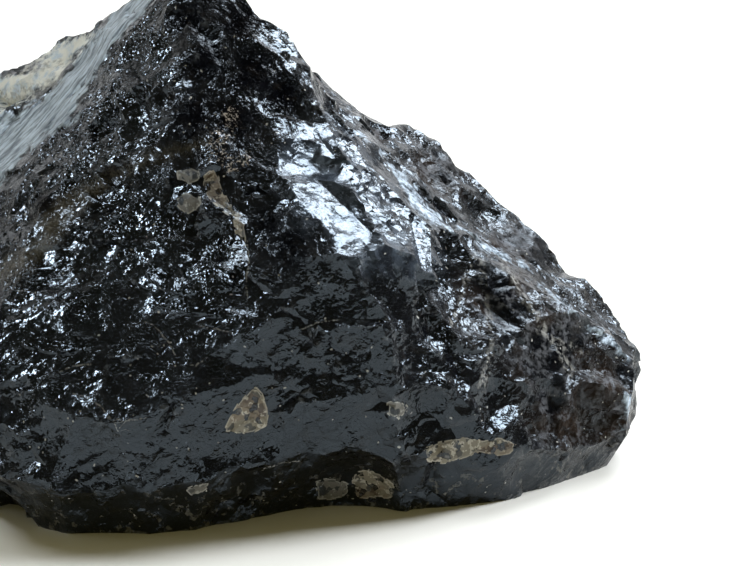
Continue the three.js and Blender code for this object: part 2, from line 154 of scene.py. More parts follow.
# Scattered breaks: spans of their measures. The rarity says how much rarer the
# large ones are, and a reference way sets where a chip's turns are counted from.
SMALL_SCARS = {"count": 170, "radius": (18, 64), "depth": (0.4, 1.3), "tip": 0.5, "rarity": 2,
               "size_in_depth": 0.6}
CHIPS = {"count": 420, "depth": (0.5, 2.3), "reach": (9, 34), "floor_tilt": (8, 20), "wall_tilt": (18, 42),
         "turn_spread": 28, "rarity": 1.5, "reference": (0.3, 0.2, 0.93)}
BOWL_DEPTH = 1.6  # a chip's rim is a bowl this many times as deep as the chip
RISER_TILT = 24  # degrees from the skin, for the steep side of a tread
CUT_HEIGHTS = (5, 92)  # scattered cuts start between these heights
CUT_SEED = 8
CUT_ALLOWANCE = 1.1  # the faces start this far out, for the cuts to eat back

print(len(LINES), "lines,", len(LARGE_SCARS), "large scars,", len(TREADS), "treads")

# %% [markdown]
# ## The broad faces as a function of direction
#
# Every point of the skin can be seen from one inner point, the core. So the
# whole surface is one function: how far the stone reaches in a direction.
# Between the lines the skin is flat triangles, and a direction leaves through
# the triangle whose three bounding planes all have it on the inner side.

# %% Broad faces
def unit(vectors):
    """Each vector divided by its own length."""
    return vectors / np.linalg.norm(vectors, axis=-1, keepdims=True)


def broad_faces():
    """Triangles between neighbouring lines, split along the shorter diagonal, and a fan at either end."""
    lines = [np.array(line, float) for line in LINES.values()]
    summit = np.array(SUMMIT, float)
    below = np.array([CORE[0], CORE[1], -CORE[2]])
    faces = []
    for line, beside in zip(lines, lines[1:] + lines[:1]):
        faces.append((summit, line[0], beside[0]))
        for a, b, c, d in zip(line[:-1], line[1:], beside[1:], beside[:-1]):
            if np.linalg.norm(a - c) < np.linalg.norm(b - d):
                faces += [(a, b, c), (a, c, d)]
            else:
                faces += [(a, b, d), (b, c, d)]
        faces.append((line[-1], below, beside[-1]))
    return np.array(faces)


FACES = broad_faces()
FACE_CROSS = np.cross(FACES[:, 1] - FACES[:, 0], FACES[:, 2] - FACES[:, 0])
FACE_NORMALS = unit(FACE_CROSS)
FACE_DISTANCES = np.einsum("fi,fi->f", FACE_NORMALS, FACES[:, 0] - CORE)
FACE_SIDES = np.cross(FACES - CORE, np.roll(FACES - CORE, -1, axis=1))  # planes through core and side
DOWN = np.array([0.0, 0.0, -1.0])


def leave_broad_faces(directions):
    """Reach and outward normal of each direction: the farthest triangle crossed, or the foot if nearer."""
    sides = np.einsum("fki,ni->nfk", FACE_SIDES, directions)
    crossed = (sides >= 0).all(2) | (sides <= 0).all(2)
    slope = directions @ FACE_NORMALS.T
    crossed &= np.abs(slope) > 1e-9
    distance = np.where(crossed, FACE_DISTANCES / np.where(slope == 0, 1, slope), -1.0)
    best = distance.argmax(1)
    reach = distance[np.arange(len(best)), best] + CUT_ALLOWANCE
    normal = FACE_NORMALS[best]
    falling = directions[:, 2] < 0
    to_foot = np.where(falling, -CORE[2] / np.where(falling, directions[:, 2], -1), np.inf)
    on_foot = to_foot < reach
    return np.where(on_foot, to_foot, reach), np.where(on_foot[:, None], DOWN, normal)


print(len(FACES), "broad triangles")

# %% [markdown]
# ## Scars and chips
#
# A scar is the hollow that the near side of a sphere leaves. A chip is a
# corner between three planes that meet in a point below the skin: a nearly
# level floor and two steep walls. Each is kept as numbers, a ball and three
# planes, so that all of them can be tested against many directions at once.
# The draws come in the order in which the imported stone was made, so the breaks
# fall in the same places.

# %% Scattered cuts
def random_source(seed):
    """The mulberry32 generator: repeatable numbers from 0 to 1."""
    state = seed
    mask = 0xFFFFFFFF
    while True:
        state = (state + 0x6D2B79F5) & mask
        t = ((state ^ (state >> 15)) * (1 | state)) & mask
        t = ((t + ((t ^ (t >> 7)) * (61 | t))) & mask) ^ t
        yield ((t ^ (t >> 14)) & mask) / 4294967296


draws = random_source(CUT_SEED)


def draw():
    """The next random number from 0 to 1."""
    return next(draws)


def pick(low, high):
    """A random number from low to high."""
    return low + (high - low) * draw()


def between(span, share):
    """The number that lies a share of the way along a span."""
    return span[0] + (span[1] - span[0]) * share


def skin_near(at):
    """The point of the broad faces in line with a point, and its outward normal."""
    direction = unit(np.asarray(at, float) - CORE)
    reach, normal = leave_broad_faces(direction[None])
    return CORE + direction * reach[0], normal[0]


AREA_STEPS = np.cumsum(np.linalg.norm(FACE_CROSS, axis=1) / 2)


def random_skin():
    """A random point of the broad faces, evenly spread over their area."""
    while True:
        a, b, c = FACES[np.searchsorted(AREA_STEPS, draw() * AREA_STEPS[-1], side="right")]
        along = math.sqrt(draw())
        across = draw()
        at = a + (b + (c - b) * across - a) * along
        if CUT_HEIGHTS[0] < at[2] < CUT_HEIGHTS[1]:
            return skin_near(at)


def turned(vector, axis, angle):
    """A vector turned about a unit axis that it is square to."""
    return vector * math.cos(angle) + np.cross(axis, vector) * math.sin(angle)


def cut(middle, spread, centre, radius, bound=None, normals=None, distances=None):
    """One cut as numbers: its middle, its spread, its ball, the ball that bounds it and its planes."""
    bound_centre, bound_radius = bound or (centre, radius)
    normals = np.zeros((3, 3)) if normals is None else normals
    distances = np.full(3, -np.inf) if distances is None else distances
    return middle, spread, centre, radius, bound_centre, bound_radius, normals, distances


SCAR_SPREAD = (1.6, 2.0)  # a scar is looked for this many times as far, and this much deeper, than it goes


def scar(skin, radius, depth, tip=0.0):
    """A ball whose near side lies a given depth below the skin, leaning a little to one side."""
    middle, outward = skin
    lean = math.sqrt(2 * tip / radius)
    sideways = np.array([pick(-lean, lean), pick(-lean, lean), pick(-lean, lean)])
    centre = unit(outward + sideways) * (radius - depth) + middle - CORE
    spread = SCAR_SPREAD[0] * math.sqrt(2 * radius * (depth + SCAR_SPREAD[1]))
    return cut(middle - CORE, spread, centre, radius)


def small_scar():
    """A shallow scar somewhere on the skin, whose depth goes partly with its size."""
    size = draw() ** SMALL_SCARS["rarity"]
    share = SMALL_SCARS["size_in_depth"]
    depth = between(SMALL_SCARS["depth"], share * size + (1 - share) * draw())
    return scar(random_skin(), between(SMALL_SCARS["radius"], size), depth, SMALL_SCARS["tip"])


def bowl(middle, outward, reach, deep):
    """A ball that meets the skin in a circle, and goes a given depth below its middle."""
    radius = (reach * reach + deep * deep) / (2 * deep)
    return middle + outward * (radius - deep)[..., None], radius


def chip():
    """Three planes through one deep point: a floor and two walls, a third of a turn apart."""
    middle, outward = random_skin()
    size = draw() ** CHIPS["rarity"]
    depth = between(CHIPS["depth"], size)
    deepest = middle - outward * depth - CORE
    level = unit(np.cross(outward, CHIPS["reference"]))
    start = pick(0, 360)
    normals = []
    for third, tilt in enumerate((CHIPS["floor_tilt"], CHIPS["wall_tilt"], CHIPS["wall_tilt"])):
        turn = math.radians(start + 120 * third + pick(-CHIPS["turn_spread"], CHIPS["turn_spread"]))
        lean = math.radians(pick(*tilt))
        normals.append(outward * math.cos(lean) + turned(level, outward, turn) * math.sin(lean))
    normals = np.array(normals)
    reach = between(CHIPS["reach"], size)
    centre, radius = bowl(middle - CORE, outward, np.float64(reach), BOWL_DEPTH * depth)
    return cut(middle - CORE, reach, centre, radius, None, normals, normals @ deepest)


CUT_PARTS = ("middle", "spread", "centre", "radius", "bound_centre", "bound_radius", "normals", "distances")


def point_cuts(cuts):
    """Turns each cut's middle into a direction, and its spread into an angle seen from the core."""
    far = np.linalg.norm(cuts["middle"], axis=1)
    cuts["spread"] = np.arcsin(np.minimum(cuts["spread"] / far, 1.0))
    cuts["middle"] = cuts["middle"] / far[:, None]
    return cuts


def tread(skin, look, depth, reach, riser_tilt=RISER_TILT):
    """A flat step: one plane that looks a given way, a steeper one beside it, and a bowl."""
    middle, outward = skin
    middle = middle - CORE
    look = unit(np.array(look))
    away = unit(outward * (look @ outward) - look)
    tilt = math.radians(riser_tilt)
    riser = outward * math.cos(tilt) + away * math.sin(tilt)
    normals = np.array([look, riser, riser])
    centre, radius = bowl(middle, outward, np.float64(reach), BOWL_DEPTH * depth)
    return cut(middle, reach, centre, radius, None, normals, normals @ (middle - outward * depth))


def quiet(points):
    """Whether each point lies in one of the quiet places."""
    points = np.atleast_2d(points)
    return np.any([np.linalg.norm(points - at, axis=1) < spread for at, spread in QUIET_PLACES], axis=0)


def gather(cuts):
    """A list of cuts as arrays, one for each part of a cut."""
    return point_cuts({name: np.array(values, float) for name, values in zip(CUT_PARTS, zip(*cuts))})


large = [scar(skin_near(at), radius, depth) for at, radius, depth in LARGE_SCARS]
steps = [tread(skin_near(at), look, depth, reach) for at, look, depth, reach in TREADS]
small = [small_scar() for _ in range(SMALL_SCARS["count"])]
chips = [chip() for _ in range(CHIPS["count"])]
scattered = [made for made in small + chips if not quiet(made[0] + CORE)[0]]
main_cuts = gather(large + steps + scattered)
print(len(main_cuts["radius"]), "cuts of the packed stone")

# %% [markdown]
# ## Where a direction leaves the stone
#
# A cut ends a direction where it has entered the ball and passed every plane.
# Testing every cut against every direction would be slow, so directions are
# sorted into tiles of the box round the core, and a tile meets only the cuts
# that point its way.

# %% Leaving the cut stone
BOX_PROPORTIONS = np.array([84.0, 56.0, 52.0])  # spaces the grid evenly on the long lump
TILES_ACROSS = 14


def cross_balls(directions, centre, radius):
    """Distances at which directions from the core enter and leave balls. A miss enters at infinity."""
    along = directions @ centre.T
    inside = along ** 2 - (centre ** 2).sum(1) + radius ** 2
    half = np.sqrt(np.maximum(inside, 0))
    return np.where((along > 0) & (inside > 0), along - half, np.inf), along + half


HOLLOW, BOUND = -1, -2  # a cut can end at its own ball or at the ball that bounds it, or at plane 0, 1 or 2


def meet_cuts(directions, cuts):
    """Distance at which each direction is inside both balls and beyond the planes, and what it met last."""
    reach, leave = cross_balls(directions, cuts["centre"], cuts["radius"])
    bound_reach, bound_leave = cross_balls(directions, cuts["bound_centre"], cuts["bound_radius"])
    last = np.where(bound_reach > reach, BOUND, HOLLOW)
    reach = np.maximum(reach, bound_reach)
    leave = np.minimum(leave, bound_leave)
    planar = np.isfinite(cuts["distances"][:, 0])
    for p in range(3):
        slope = directions @ cuts["normals"][:, p].T
        distance = np.where(slope > 0, cuts["distances"][:, p] / np.where(slope > 0, slope, 1), np.inf)
        distance = np.where(planar, distance, -np.inf)
        last = np.where(distance > reach, p, last)
        reach = np.maximum(reach, distance)
    return np.where(reach > leave, np.inf, reach), last


def tiles(directions):
    """Groups of neighbouring directions, by the tile of the box that they pass through."""
    boxed = directions / BOX_PROPORTIONS
    across = np.abs(boxed).argmax(1)
    longest = np.take_along_axis(boxed, across[:, None], 1)[:, 0]
    rest = np.array([[1, 2], [0, 2], [0, 1]])[across]
    places = np.take_along_axis(boxed, rest, 1) / np.abs(longest)[:, None]
    cells = np.clip(((places + 1) / 2 * TILES_ACROSS).astype(int), 0, TILES_ACROSS - 1)
    key = ((across * 2 + (longest > 0)) * TILES_ACROSS + cells[:, 0]) * TILES_ACROSS + cells[:, 1]
    order = np.argsort(key, kind="stable")
    return np.split(order, np.flatnonzero(np.diff(key[order])) + 1)


def leave_stone(directions, cuts):
    """Reach and normal of the cut stone in each direction."""
    reach = np.empty(len(directions))
    normal = np.empty((len(directions), 3))
    for tile in tiles(directions):
        rays = directions[tile]
        best, facing = leave_broad_faces(rays)
        middle = unit(rays.mean(0))
        width = np.arccos(np.clip((rays @ middle).min(), -1, 1))
        apart = np.arccos(np.clip(cuts["middle"] @ middle, -1, 1))
        near = {name: values[apart < cuts["spread"] + width] for name, values in cuts.items()}
        if len(near["radius"]):
            distance, last = meet_cuts(rays, near)
            first = distance.argmin(1)
            row = np.arange(len(rays))
            nearest, last = distance[row, first], last[row, first]
            ball = np.where((last == BOUND)[:, None], near["bound_centre"][first], near["centre"][first])
            hollow = unit(ball - rays * nearest.clip(0, 1e6)[:, None])
            facing_cut = np.where((last < 0)[:, None], hollow, near["normals"][first, last])
            is_cut = nearest < best
            best = np.where(is_cut, nearest, best)
            facing = np.where(is_cut[:, None], facing_cut, facing)
        reach[tile] = best
        normal[tile] = facing
    return reach, normal


# %% [markdown]
# ## Small breaks
#
# Between the large breaks the skin is covered in breaks a few millimetres
# across: flakes on the glassy faces, angular chips where the stone broke
# roughly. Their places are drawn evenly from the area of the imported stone, and
# each starts from the skin that the larger cuts left. Beside the right ridge
# the stone broke in rows of little steps that all look the same way. They are
# placed in rows, because chance would never turn so many of them to the light.

# %% Scatter the small breaks
FINE_SEED = 31
FINE_FLAKES = {"count": 2600, "radius": (3.0, 26.0), "depth": (0.08, 0.5), "lean": 0.22}
FINE_CHIPS = {"count": 6500, "depth": (0.12, 0.9), "reach": 6.5, "floor_tilt": (9, 24), "wall_tilt": (20, 58),
              "turn_spread": 30}  # the reach is a multiple of the depth
QUIET_SHARES = {"chips": 0.03, "flakes": 0.15}  # how many of them stay in a quiet place
SMOOTH_SHARE = 0.25  # how many of the chips stay in the smoothest places
FLAKE_RIM = 1.25  # a flake's rim is this many times as far out as its hollow meets the level skin
LOWEST = 1.5  # small breaks start above this height
STEEPEST = 0.5  # and where the skin looks at least this squarely away from the core
ROUGH_PATCH = 26.0  # size of the rough and the smooth places
# Waves that rise and fall along x, y and z, each with its own start.
ROUGH_WAVES = [(1.6, 0.7, 0.9, 0.4), (-0.8, 1.7, 1.1, 2.1), (0.5, -0.9, 2.2, 4.0)]
RIDGE_BAND = (((14, -17, 67), (22, -34, 52)), ((19, -11, 65), (29, -26, 50)))  # two lines, from the top down
RIDGE_ROWS = (9, 4)  # steps down the band and across it
RIDGE_LOOK = (0.31, -0.52, 0.80)
RIDGE_STEP = {"depth": (0.5, 0.9), "reach": (2.4, 3.8), "riser_tilt": 48, "strewn": 0.5, "sway": 0.035}
WHOLE_PLACE = ((-57, 36, 77), 8.0)  # the ledge's straight edge: a point, and degrees round it, left whole
SHIFT = np.array([-2.536, 1.944, 0.0])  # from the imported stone's origin to the lines' origin

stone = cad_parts["morion_stone"]
low, high = (np.array(corner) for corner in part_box("morion_stone"))
rng = np.random.default_rng(FINE_SEED)


def mesh_arrays(mesh):
    """The vertices in millimetres and the triangles of a mesh."""
    mesh.calc_loop_triangles()
    points = np.empty(len(mesh.vertices) * 3)
    mesh.vertices.foreach_get("co", points)
    corners = np.empty(len(mesh.loop_triangles) * 3, np.int32)
    mesh.loop_triangles.foreach_get("vertices", corners)
    return points.reshape(-1, 3) / MM, corners.reshape(-1, 3)


def rough_place(points):
    """Slow waves across the lump, from 0 in its smoothest places to 1 in its roughest."""
    total = sum(np.sin(points @ np.array(wave[:3]) / ROUGH_PATCH + wave[3]) for wave in ROUGH_WAVES)
    return np.clip(0.5 + total / 4, 0, 1)


def even_points(mesh, count):
    """Random points spread evenly over the area of a mesh."""
    points, corners = mesh_arrays(mesh)
    a, b, c = (points[corners[:, i]] for i in range(3))
    area = np.linalg.norm(np.cross(b - a, c - a), axis=1)
    chosen = rng.choice(len(area), count, p=area / area.sum())
    along = np.sqrt(rng.random(count))[:, None]
    across = rng.random(count)[:, None]
    return a[chosen] * (1 - along) + along * (b[chosen] * (1 - across) + c[chosen] * across)


def starting_places():
    """The point and outward normal of the skin where each small break starts, and whether it is a flake."""
    count = FINE_FLAKES["count"] + FINE_CHIPS["count"]
    heading = unit(even_points(stone.data, count) + SHIFT - CORE)
    reach, outward = leave_stone(heading, main_cuts)
    middle = heading * reach[:, None]
    keep = (middle[:, 2] + CORE[2] > LOWEST) & (np.einsum("ni,ni->n", outward, heading) > STEEPEST)
    flakes = np.arange(count) < FINE_FLAKES["count"]
    wanted = np.where(flakes, 1.0, between((SMOOTH_SHARE, 1.0), rough_place(middle + CORE)))
    spared = np.where(flakes, QUIET_SHARES["flakes"], QUIET_SHARES["chips"])
    wanted *= np.where(quiet(middle + CORE), spared, 1.0)
    keep &= rng.random(count) < wanted
    return middle[keep], outward[keep], flakes[keep]


def fine_cuts():
    """Small flakes and chips as arrays: a hollow in a bowl, or three planes in a bowl."""
    middle, outward, flakes = starting_places()
    count = len(middle)
    size = rng.random(count) ** 2
    depth = np.where(flakes, between(FINE_FLAKES["depth"], size), between(FINE_CHIPS["depth"], size))
    hollow_radius = rng.uniform(*FINE_FLAKES["radius"], count)
    reach = np.where(flakes, FLAKE_RIM * np.sqrt(2 * hollow_radius * depth), FINE_CHIPS["reach"] * depth)
    lean = unit(outward + rng.normal(0, FINE_FLAKES["lean"] / 2, (count, 3)))
    hollow_centre = middle + lean * (hollow_radius - depth)[:, None]
    bowl_centre, bowl_radius = bowl(middle, outward, reach, BOWL_DEPTH * depth)
    deepest = middle - outward * depth[:, None]
    level = unit(np.cross(outward, rng.normal(0, 1, (count, 3))))
    square = np.cross(outward, level)
    normals = np.zeros((count, 3, 3))
    for third, side in enumerate(("floor_tilt", "wall_tilt", "wall_tilt")):
        turn = np.radians(120 * third + rng.uniform(-1, 1, count) * FINE_CHIPS["turn_spread"])[:, None]
        tilt = np.radians(rng.uniform(*FINE_CHIPS[side], count))[:, None]
        away = level * np.cos(turn) + square * np.sin(turn)
        normals[:, third] = outward * np.cos(tilt) + away * np.sin(tilt)
    distances = np.einsum("npi,ni->np", normals, deepest)
    distances[flakes] = -np.inf
    return point_cuts({
        "middle": middle, "spread": reach,
        "centre": np.where(flakes[:, None], hollow_centre, bowl_centre),
        "radius": np.where(flakes, hollow_radius, bowl_radius),
        "bound_centre": bowl_centre, "bound_radius": bowl_radius, "normals": normals, "distances": distances})


def small_steps(at, look, step):
    """Small steps near given points, all looking nearly one way, cut from what the larger cuts left."""
    heading = unit(at + rng.normal(0, step["strewn"], at.shape) - CORE)
    reach, outward = leave_stone(heading, main_cuts)
    middle = heading * reach[:, None] + CORE
    looks = unit(np.array(look) + rng.normal(0, step["sway"], at.shape))
    depths, reaches = (rng.uniform(*step[name], len(at)) for name in ("depth", "reach"))
    return gather([tread(skin, look, depth, reach, step["riser_tilt"])
                   for skin, look, depth, reach in zip(zip(middle, outward), looks, depths, reaches)])


def ridge_places():
    """Points in rows between two lines down the skin."""
    down, across = np.meshgrid(np.arange(RIDGE_ROWS[0]) + 0.5, np.arange(RIDGE_ROWS[1]) + 0.5, indexing="ij")
    down, across = down.ravel()[:, None] / RIDGE_ROWS[0], across.ravel()[:, None] / RIDGE_ROWS[1]
    (near_top, near_foot), (far_top, far_foot) = np.array(RIDGE_BAND, float)
    near, far = near_top + (near_foot - near_top) * down, far_top + (far_foot - far_top) * down
    return near + (far - near) * across


def leave_whole(cuts):
    """The cuts that don't start within a given angle of the middle of the ledge's straight edge."""
    place, spread = WHOLE_PLACE
    clear = cuts["middle"] @ unit(np.array(place) - CORE) < math.cos(math.radians(spread))
    return {name: values[clear] for name, values in cuts.items()}


small_breaks = leave_whole(fine_cuts())
ridge_cuts = small_steps(ridge_places(), RIDGE_LOOK, RIDGE_STEP)
all_cuts = {name: np.concatenate([cuts[name] for cuts in (main_cuts, small_breaks, ridge_cuts)])
            for name in main_cuts}
print(len(all_cuts["radius"]), "cuts in all")

# %% [markdown]
# ## The skin
#
# The skin is a box of grids blown out onto the lump. The cut surface is
# measured at the middle of every cell, and each grid point is then moved to
# the place nearest to the flat skins of the cells that meet there. Across a
# ridge that place is on the ridge itself, so edges stay sharp.

# %% Build the grid
CELLS = 126  # along each edge of the box
EDGE_HOLD = 0.06  # how strongly a point keeps to the middle of its cells
CELL_REACH = 0.42  # how far it may move in its cell
STEEP_DROP = (1.2, 2.2)  # drops between neighbouring cells over which an edge gives way to a slope
EDGE_OVERSHOOT = 0.35  # how far it may stand beyond the skin around it


def box_grid(cells):
    """Whole-number points (u, v) on the six sides of a box, shared along its edges, and its outward cells."""
    steps = np.arange(cells + 1)
    u, v = np.meshgrid(steps, steps, indexing="ij")
    points, quads = [], []
    for axis in range(3):
        for end in (0, cells):
            side = np.empty(u.shape + (3,), int)
            side[..., axis] = end
            side[..., (axis + 1) % 3] = u
            side[..., (axis + 2) % 3] = v
            index = np.arange(u.size).reshape(u.shape) + len(points) * u.size
            corners = [index[:-1, :-1], index[1:, :-1], index[1:, 1:], index[:-1, 1:]]
            if end == 0:
                corners.reverse()
            points.append(side.reshape(-1, 3))
            quads.append(np.stack(corners, -1).reshape(-1, 4))
    lattice, same = np.unique(np.concatenate(points), axis=0, return_inverse=True)
    return lattice, same.reshape(-1)[np.concatenate(quads)]


def box_direction(places):
    """The direction from the core for places on the box from -1 to 1. Equal steps give nearly equal turns."""
    return unit(np.tan(np.pi / 4 * places) * BOX_PROPORTIONS)


lattice, quads = box_grid(CELLS)
places = lattice / CELLS * 2 - 1
print(len(places), "grid points,", len(quads), "cells")


# %% [markdown]
# Two cases need care. Where the skin drops steeply from one cell to the next,
# the place nearest to both can lie far off, so the point takes the plain mean
# of its cells. And no point may leave its own part of the grid, because the
# triangles around it would fold over each other.

# %% Measure the cells and draw the points onto the edges
def gather_cells(values):
    """The sum, for each grid point, of a value of the cells that meet there."""
    total = np.zeros((len(places),) + values.shape[1:])
    for corner in range(4):
        np.add.at(total, quads[:, corner], values)
    return total


def extreme_of_cells(values, pick_extreme, start):
    """The least or the greatest value of the cells that meet at each grid point."""
    total = np.full(len(places), start)
    for corner in range(4):
        pick_extreme.at(total, quads[:, corner], values)
    return total


def draw_to_edges(points, normals):
    """Least squares: the point nearest to all the flat skins of the cells around it."""
    count = gather_cells(np.ones(len(quads)))
    middle = gather_cells(points) / count[:, None]
    matrix = gather_cells(normals[:, :, None] * normals[:, None, :]) + EDGE_HOLD * np.eye(3)
    flat = np.einsum("ni,ni->n", normals, points)
    right = gather_cells(normals * flat[:, None]) + EDGE_HOLD * middle
    return np.linalg.solve(matrix, right[..., None])[..., 0]


def settle_steep(points, reaches, middles):
    """Where the skin drops more than a cell's width between cells, the plain mean of the cells instead."""
    drop = extreme_of_cells(reaches, np.maximum, 0.0) - extreme_of_cells(reaches, np.minimum, np.inf)
    share = np.clip((drop - STEEP_DROP[0]) / (STEEP_DROP[1] - STEEP_DROP[0]), 0, 1)[:, None]
    count = gather_cells(np.ones(len(quads)))
    return points * (1 - share) + share * gather_cells(middles) / count[:, None]


def keep_in_cell(points, reaches):
    """Points held within reach of their own grid place, and near the lengths measured around them."""
    shortest = extreme_of_cells(reaches, np.minimum, np.inf) - EDGE_OVERSHOOT
    longest = extreme_of_cells(reaches, np.maximum, 0.0) + EDGE_OVERSHOOT
    length = np.clip(np.linalg.norm(points, axis=1), shortest, longest)
    across = np.abs(places).argmax(1)[:, None]
    boxed = points / BOX_PROPORTIONS
    place = np.arctan(boxed / np.abs(np.take_along_axis(boxed, across, 1))) * 4 / np.pi
    limit = CELL_REACH * 2 / CELLS
    place = np.clip(place, places - limit, places + limit)
    np.put_along_axis(place, across, np.take_along_axis(places, across, 1), 1)
    return box_direction(place) * length[:, None]


cell_places = places[quads].mean(1)
cell_directions = box_direction(cell_places / np.abs(cell_places).max(1, keepdims=True))
cell_reaches, cell_normals = leave_stone(cell_directions, all_cuts)
cell_points = cell_directions * cell_reaches[:, None]
skin = settle_steep(draw_to_edges(cell_points, cell_normals), cell_reaches, cell_points)
skin = keep_in_cell(skin, cell_reaches)
print("longest reach from the core:", round(float(np.linalg.norm(skin, axis=1).max()), 1), "mm")

# %% [markdown]
# Each cell becomes two triangles. The diagonal that lies nearer to the measured
# skin is the one to keep, unless it would fold the skin over. Every point then
# sinks by a random tenth of a millimetre or so, because no broken face is quite
# flat, and the foot is made exactly level.

# %% Part the cells, roughen the skin and close it on the foot
GRAIN = (0.01, 0.16)  # how far a point may sink, in the smoothest and the roughest places
FOOT_TOLERANCE = 0.05  # points this near the foot belong to it
EDGE_ON = 0.1  # a triangle that faces outward less than this would fold the skin
OUTER_SHARE = 0.125  # the part of each axis, at either end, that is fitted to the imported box


def part_cells(points):
    """Two triangles per cell, split along the diagonal whose middle lies nearer to the skin in the cell."""
    a, b, c, d = (points[quads[:, i]] for i in range(4))

    def gap(p, q):
        """How far the middle of a diagonal lies from the flat skin of its cell."""
        return np.abs(np.einsum("ni,ni->n", (p + q) / 2 - cell_points, cell_normals))

    def open_to(p, q, r):
        """How squarely a triangle looks away from the core: 1 is outward, and below 0 it is folded over."""
        normal = np.cross(q - p, r - p)
        return np.einsum("ni,ni->n", unit(normal + 1e-12), unit(p + q + r))

    open_ac = np.minimum(open_to(a, b, c), open_to(a, c, d))
    open_bd = np.minimum(open_to(a, b, d), open_to(b, c, d))
    folded = np.minimum(open_ac, open_bd) < EDGE_ON
    along_ac = np.where(folded, open_ac > open_bd, gap(a, c) <= gap(b, d))[:, None]
    first = np.where(along_ac, quads[:, [0, 1, 2]], quads[:, [0, 1, 3]])
    second = np.where(along_ac, quads[:, [0, 2, 3]], quads[:, [1, 2, 3]])
    return np.concatenate([first, second])


def fit_to_box(points, low, high):
    """Points near either end of each axis, squeezed or stretched in proportion to just touch the box."""
    band = (high - low) * OUTER_SHARE
    over, under = points - (high - band), (low + band) - points
    points = np.where(over > 0, high - band + over * band / over.max(0), points)
    return np.where(under > 0, low + band - under * band / under.max(0), points)


triangles = part_cells(skin)
on_foot = skin[:, 2] + CORE[2] < FOOT_TOLERANCE
sink = between(GRAIN, rough_place(skin + CORE)) * rng.random(len(skin)) * ~on_foot
skin = skin * (1 - sink / np.linalg.norm(skin, axis=1))[:, None] + CORE
skin[on_foot, 2] = 0
print("own box, millimetres:", np.round(skin.min(0) - SHIFT, 2), np.round(skin.max(0) - SHIFT, 2))
skin = fit_to_box(skin - SHIFT, low / MM, high / MM)

# %% [markdown]
# ## Put the skin into a mesh
#
# The piece is one closed mesh. Its normals are smooth inside a break and split
# at the edges between breaks, as on real glassy quartz.

# %% Make the stone piece
SHARP_ANGLE = math.radians(24)


def add_piece(name, points, corners):
    """A mesh object from points in millimetres and triangles."""
    mesh = bpy.data.meshes.new(name)
    mesh.from_pydata(points * MM, [], corners)
    mesh.shade_smooth()
    piece = bpy.data.objects.new(name, mesh)
    bpy.context.collection.objects.link(piece)
    return piece


lump = add_piece("morion_lump", skin, triangles)
lump.data.set_sharp_from_angle(angle=SHARP_ANGLE)
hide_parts("morion_stone")
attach(lump, "root")
print(len(triangles), "triangles in the lump")

# %% [markdown]
# ## The surface of the lump
#
# Morion is black because natural radiation darkened the quartz all through.
# What the eye sees is therefore almost only gloss: glassy faces mirror the
# room, rough ones glitter, and bruised edges are pale with tiny cracks. The
# quartz itself has an index of refraction of 1.544.

# %% Measure the edges
def vertex_normals(points, corners):
    """The mean direction of the triangles that meet at each point, larger ones counting more."""
    a, b, c = (points[corners[:, i]] for i in range(3))
    cross = np.cross(b - a, c - a)
    total = np.zeros_like(points)
    for corner in range(3):
        np.add.at(total, corners[:, corner], cross)
    return unit(total)


def bulge(points, corners, normals):
    """How far each point stands out from its neighbours along its normal, as a slope: positive on ridges."""
    total = np.zeros(len(points))
    count = np.zeros(len(points))
    for i, j in ((0, 1), (1, 2), (2, 0), (1, 0), (2, 1), (0, 2)):
        here, there = corners[:, i], corners[:, j]
        step = points[here] - points[there]
        rise = np.einsum("ni,ni->n", step, normals[here]) / np.linalg.norm(step, axis=1).clip(1e-6)
        np.add.at(total, here, rise)
        np.add.at(count, here, 1)
    return total / count


def add_mask(piece, name, values):
    """A number at each point, for the material to read."""
    mask = piece.data.attributes.new(name, "FLOAT", "POINT")
    mask.data.foreach_set("value", np.asarray(values, np.float32))
    print("mask", name, "mean", round(float(np.mean(values)), 3))


BRUISED = (3.0, 0.35)  # how fast an edge looks bruised as its slope grows, and what it takes to begin

normals = vertex_normals(skin, triangles)
add_mask(lump, "ridge", np.clip(bulge(skin, triangles, normals) * BRUISED[0] - BRUISED[1], 0, 1))

# %% [markdown]
# ## Where the marks lie
#
# Some marks have a place of their own: clean glassy faces, glittering ones,
# bevels along the ridges with frosting, a fuzzy vein and a few tan chips. The
# pale blue of the bevels is partly frosting and partly a painted reflection of
# the bright room. They could be painted by hand or placed in space. Here their
# places are given as pixels of the camera's view, because that is where they
# are looked at. A point of the skin is marked where it falls on such a pixel
# and nothing stands in front.

# %% Look at the skin through the camera
FOCAL_PIXELS = LENS / SENSOR * IMAGE_SIZE[0]
DEPTH_CELL = 10  # pixels along one side of a small square of the view
SQUARES_ACROSS = 4096  # more squares than any row of the view has
SEEN_BEHIND = 14.0  # millimetres by which a point may lie behind the nearest one and still be seen


def see(points):
    """Pixel (u right, v down) and depth in millimetres of points, for a camera turned down a little."""
    tilt = math.radians(VIEW_ELEVATION)
    forward = np.array([0, math.cos(tilt), -math.sin(tilt)])
    upward = np.array([0, math.sin(tilt), math.cos(tilt)])
    away = points - np.array(CAMERA_PLACE) / MM
    depth = away @ forward
    u = IMAGE_SIZE[0] / 2 + FOCAL_PIXELS * away[:, 0] / depth
    v = IMAGE_SIZE[1] / 2 - FOCAL_PIXELS * (away @ upward) / depth
    return np.stack([u, v], 1), depth


def in_sight(pixels, depth):
    """Whether a point faces the camera and is near the nearest one of its own small square of the view."""
    to_camera = np.array(CAMERA_PLACE) / MM - skin
    squares = np.floor(pixels / DEPTH_CELL).astype(int)
    squares = (squares - squares.min(0)) @ np.array([1, SQUARES_ACROSS])
    nearest = np.full(squares.max() + 1, np.inf)
    np.minimum.at(nearest, squares, depth)
    return (depth < nearest[squares] + SEEN_BEHIND) & (np.einsum("ni,ni->n", to_camera, normals) > 0)


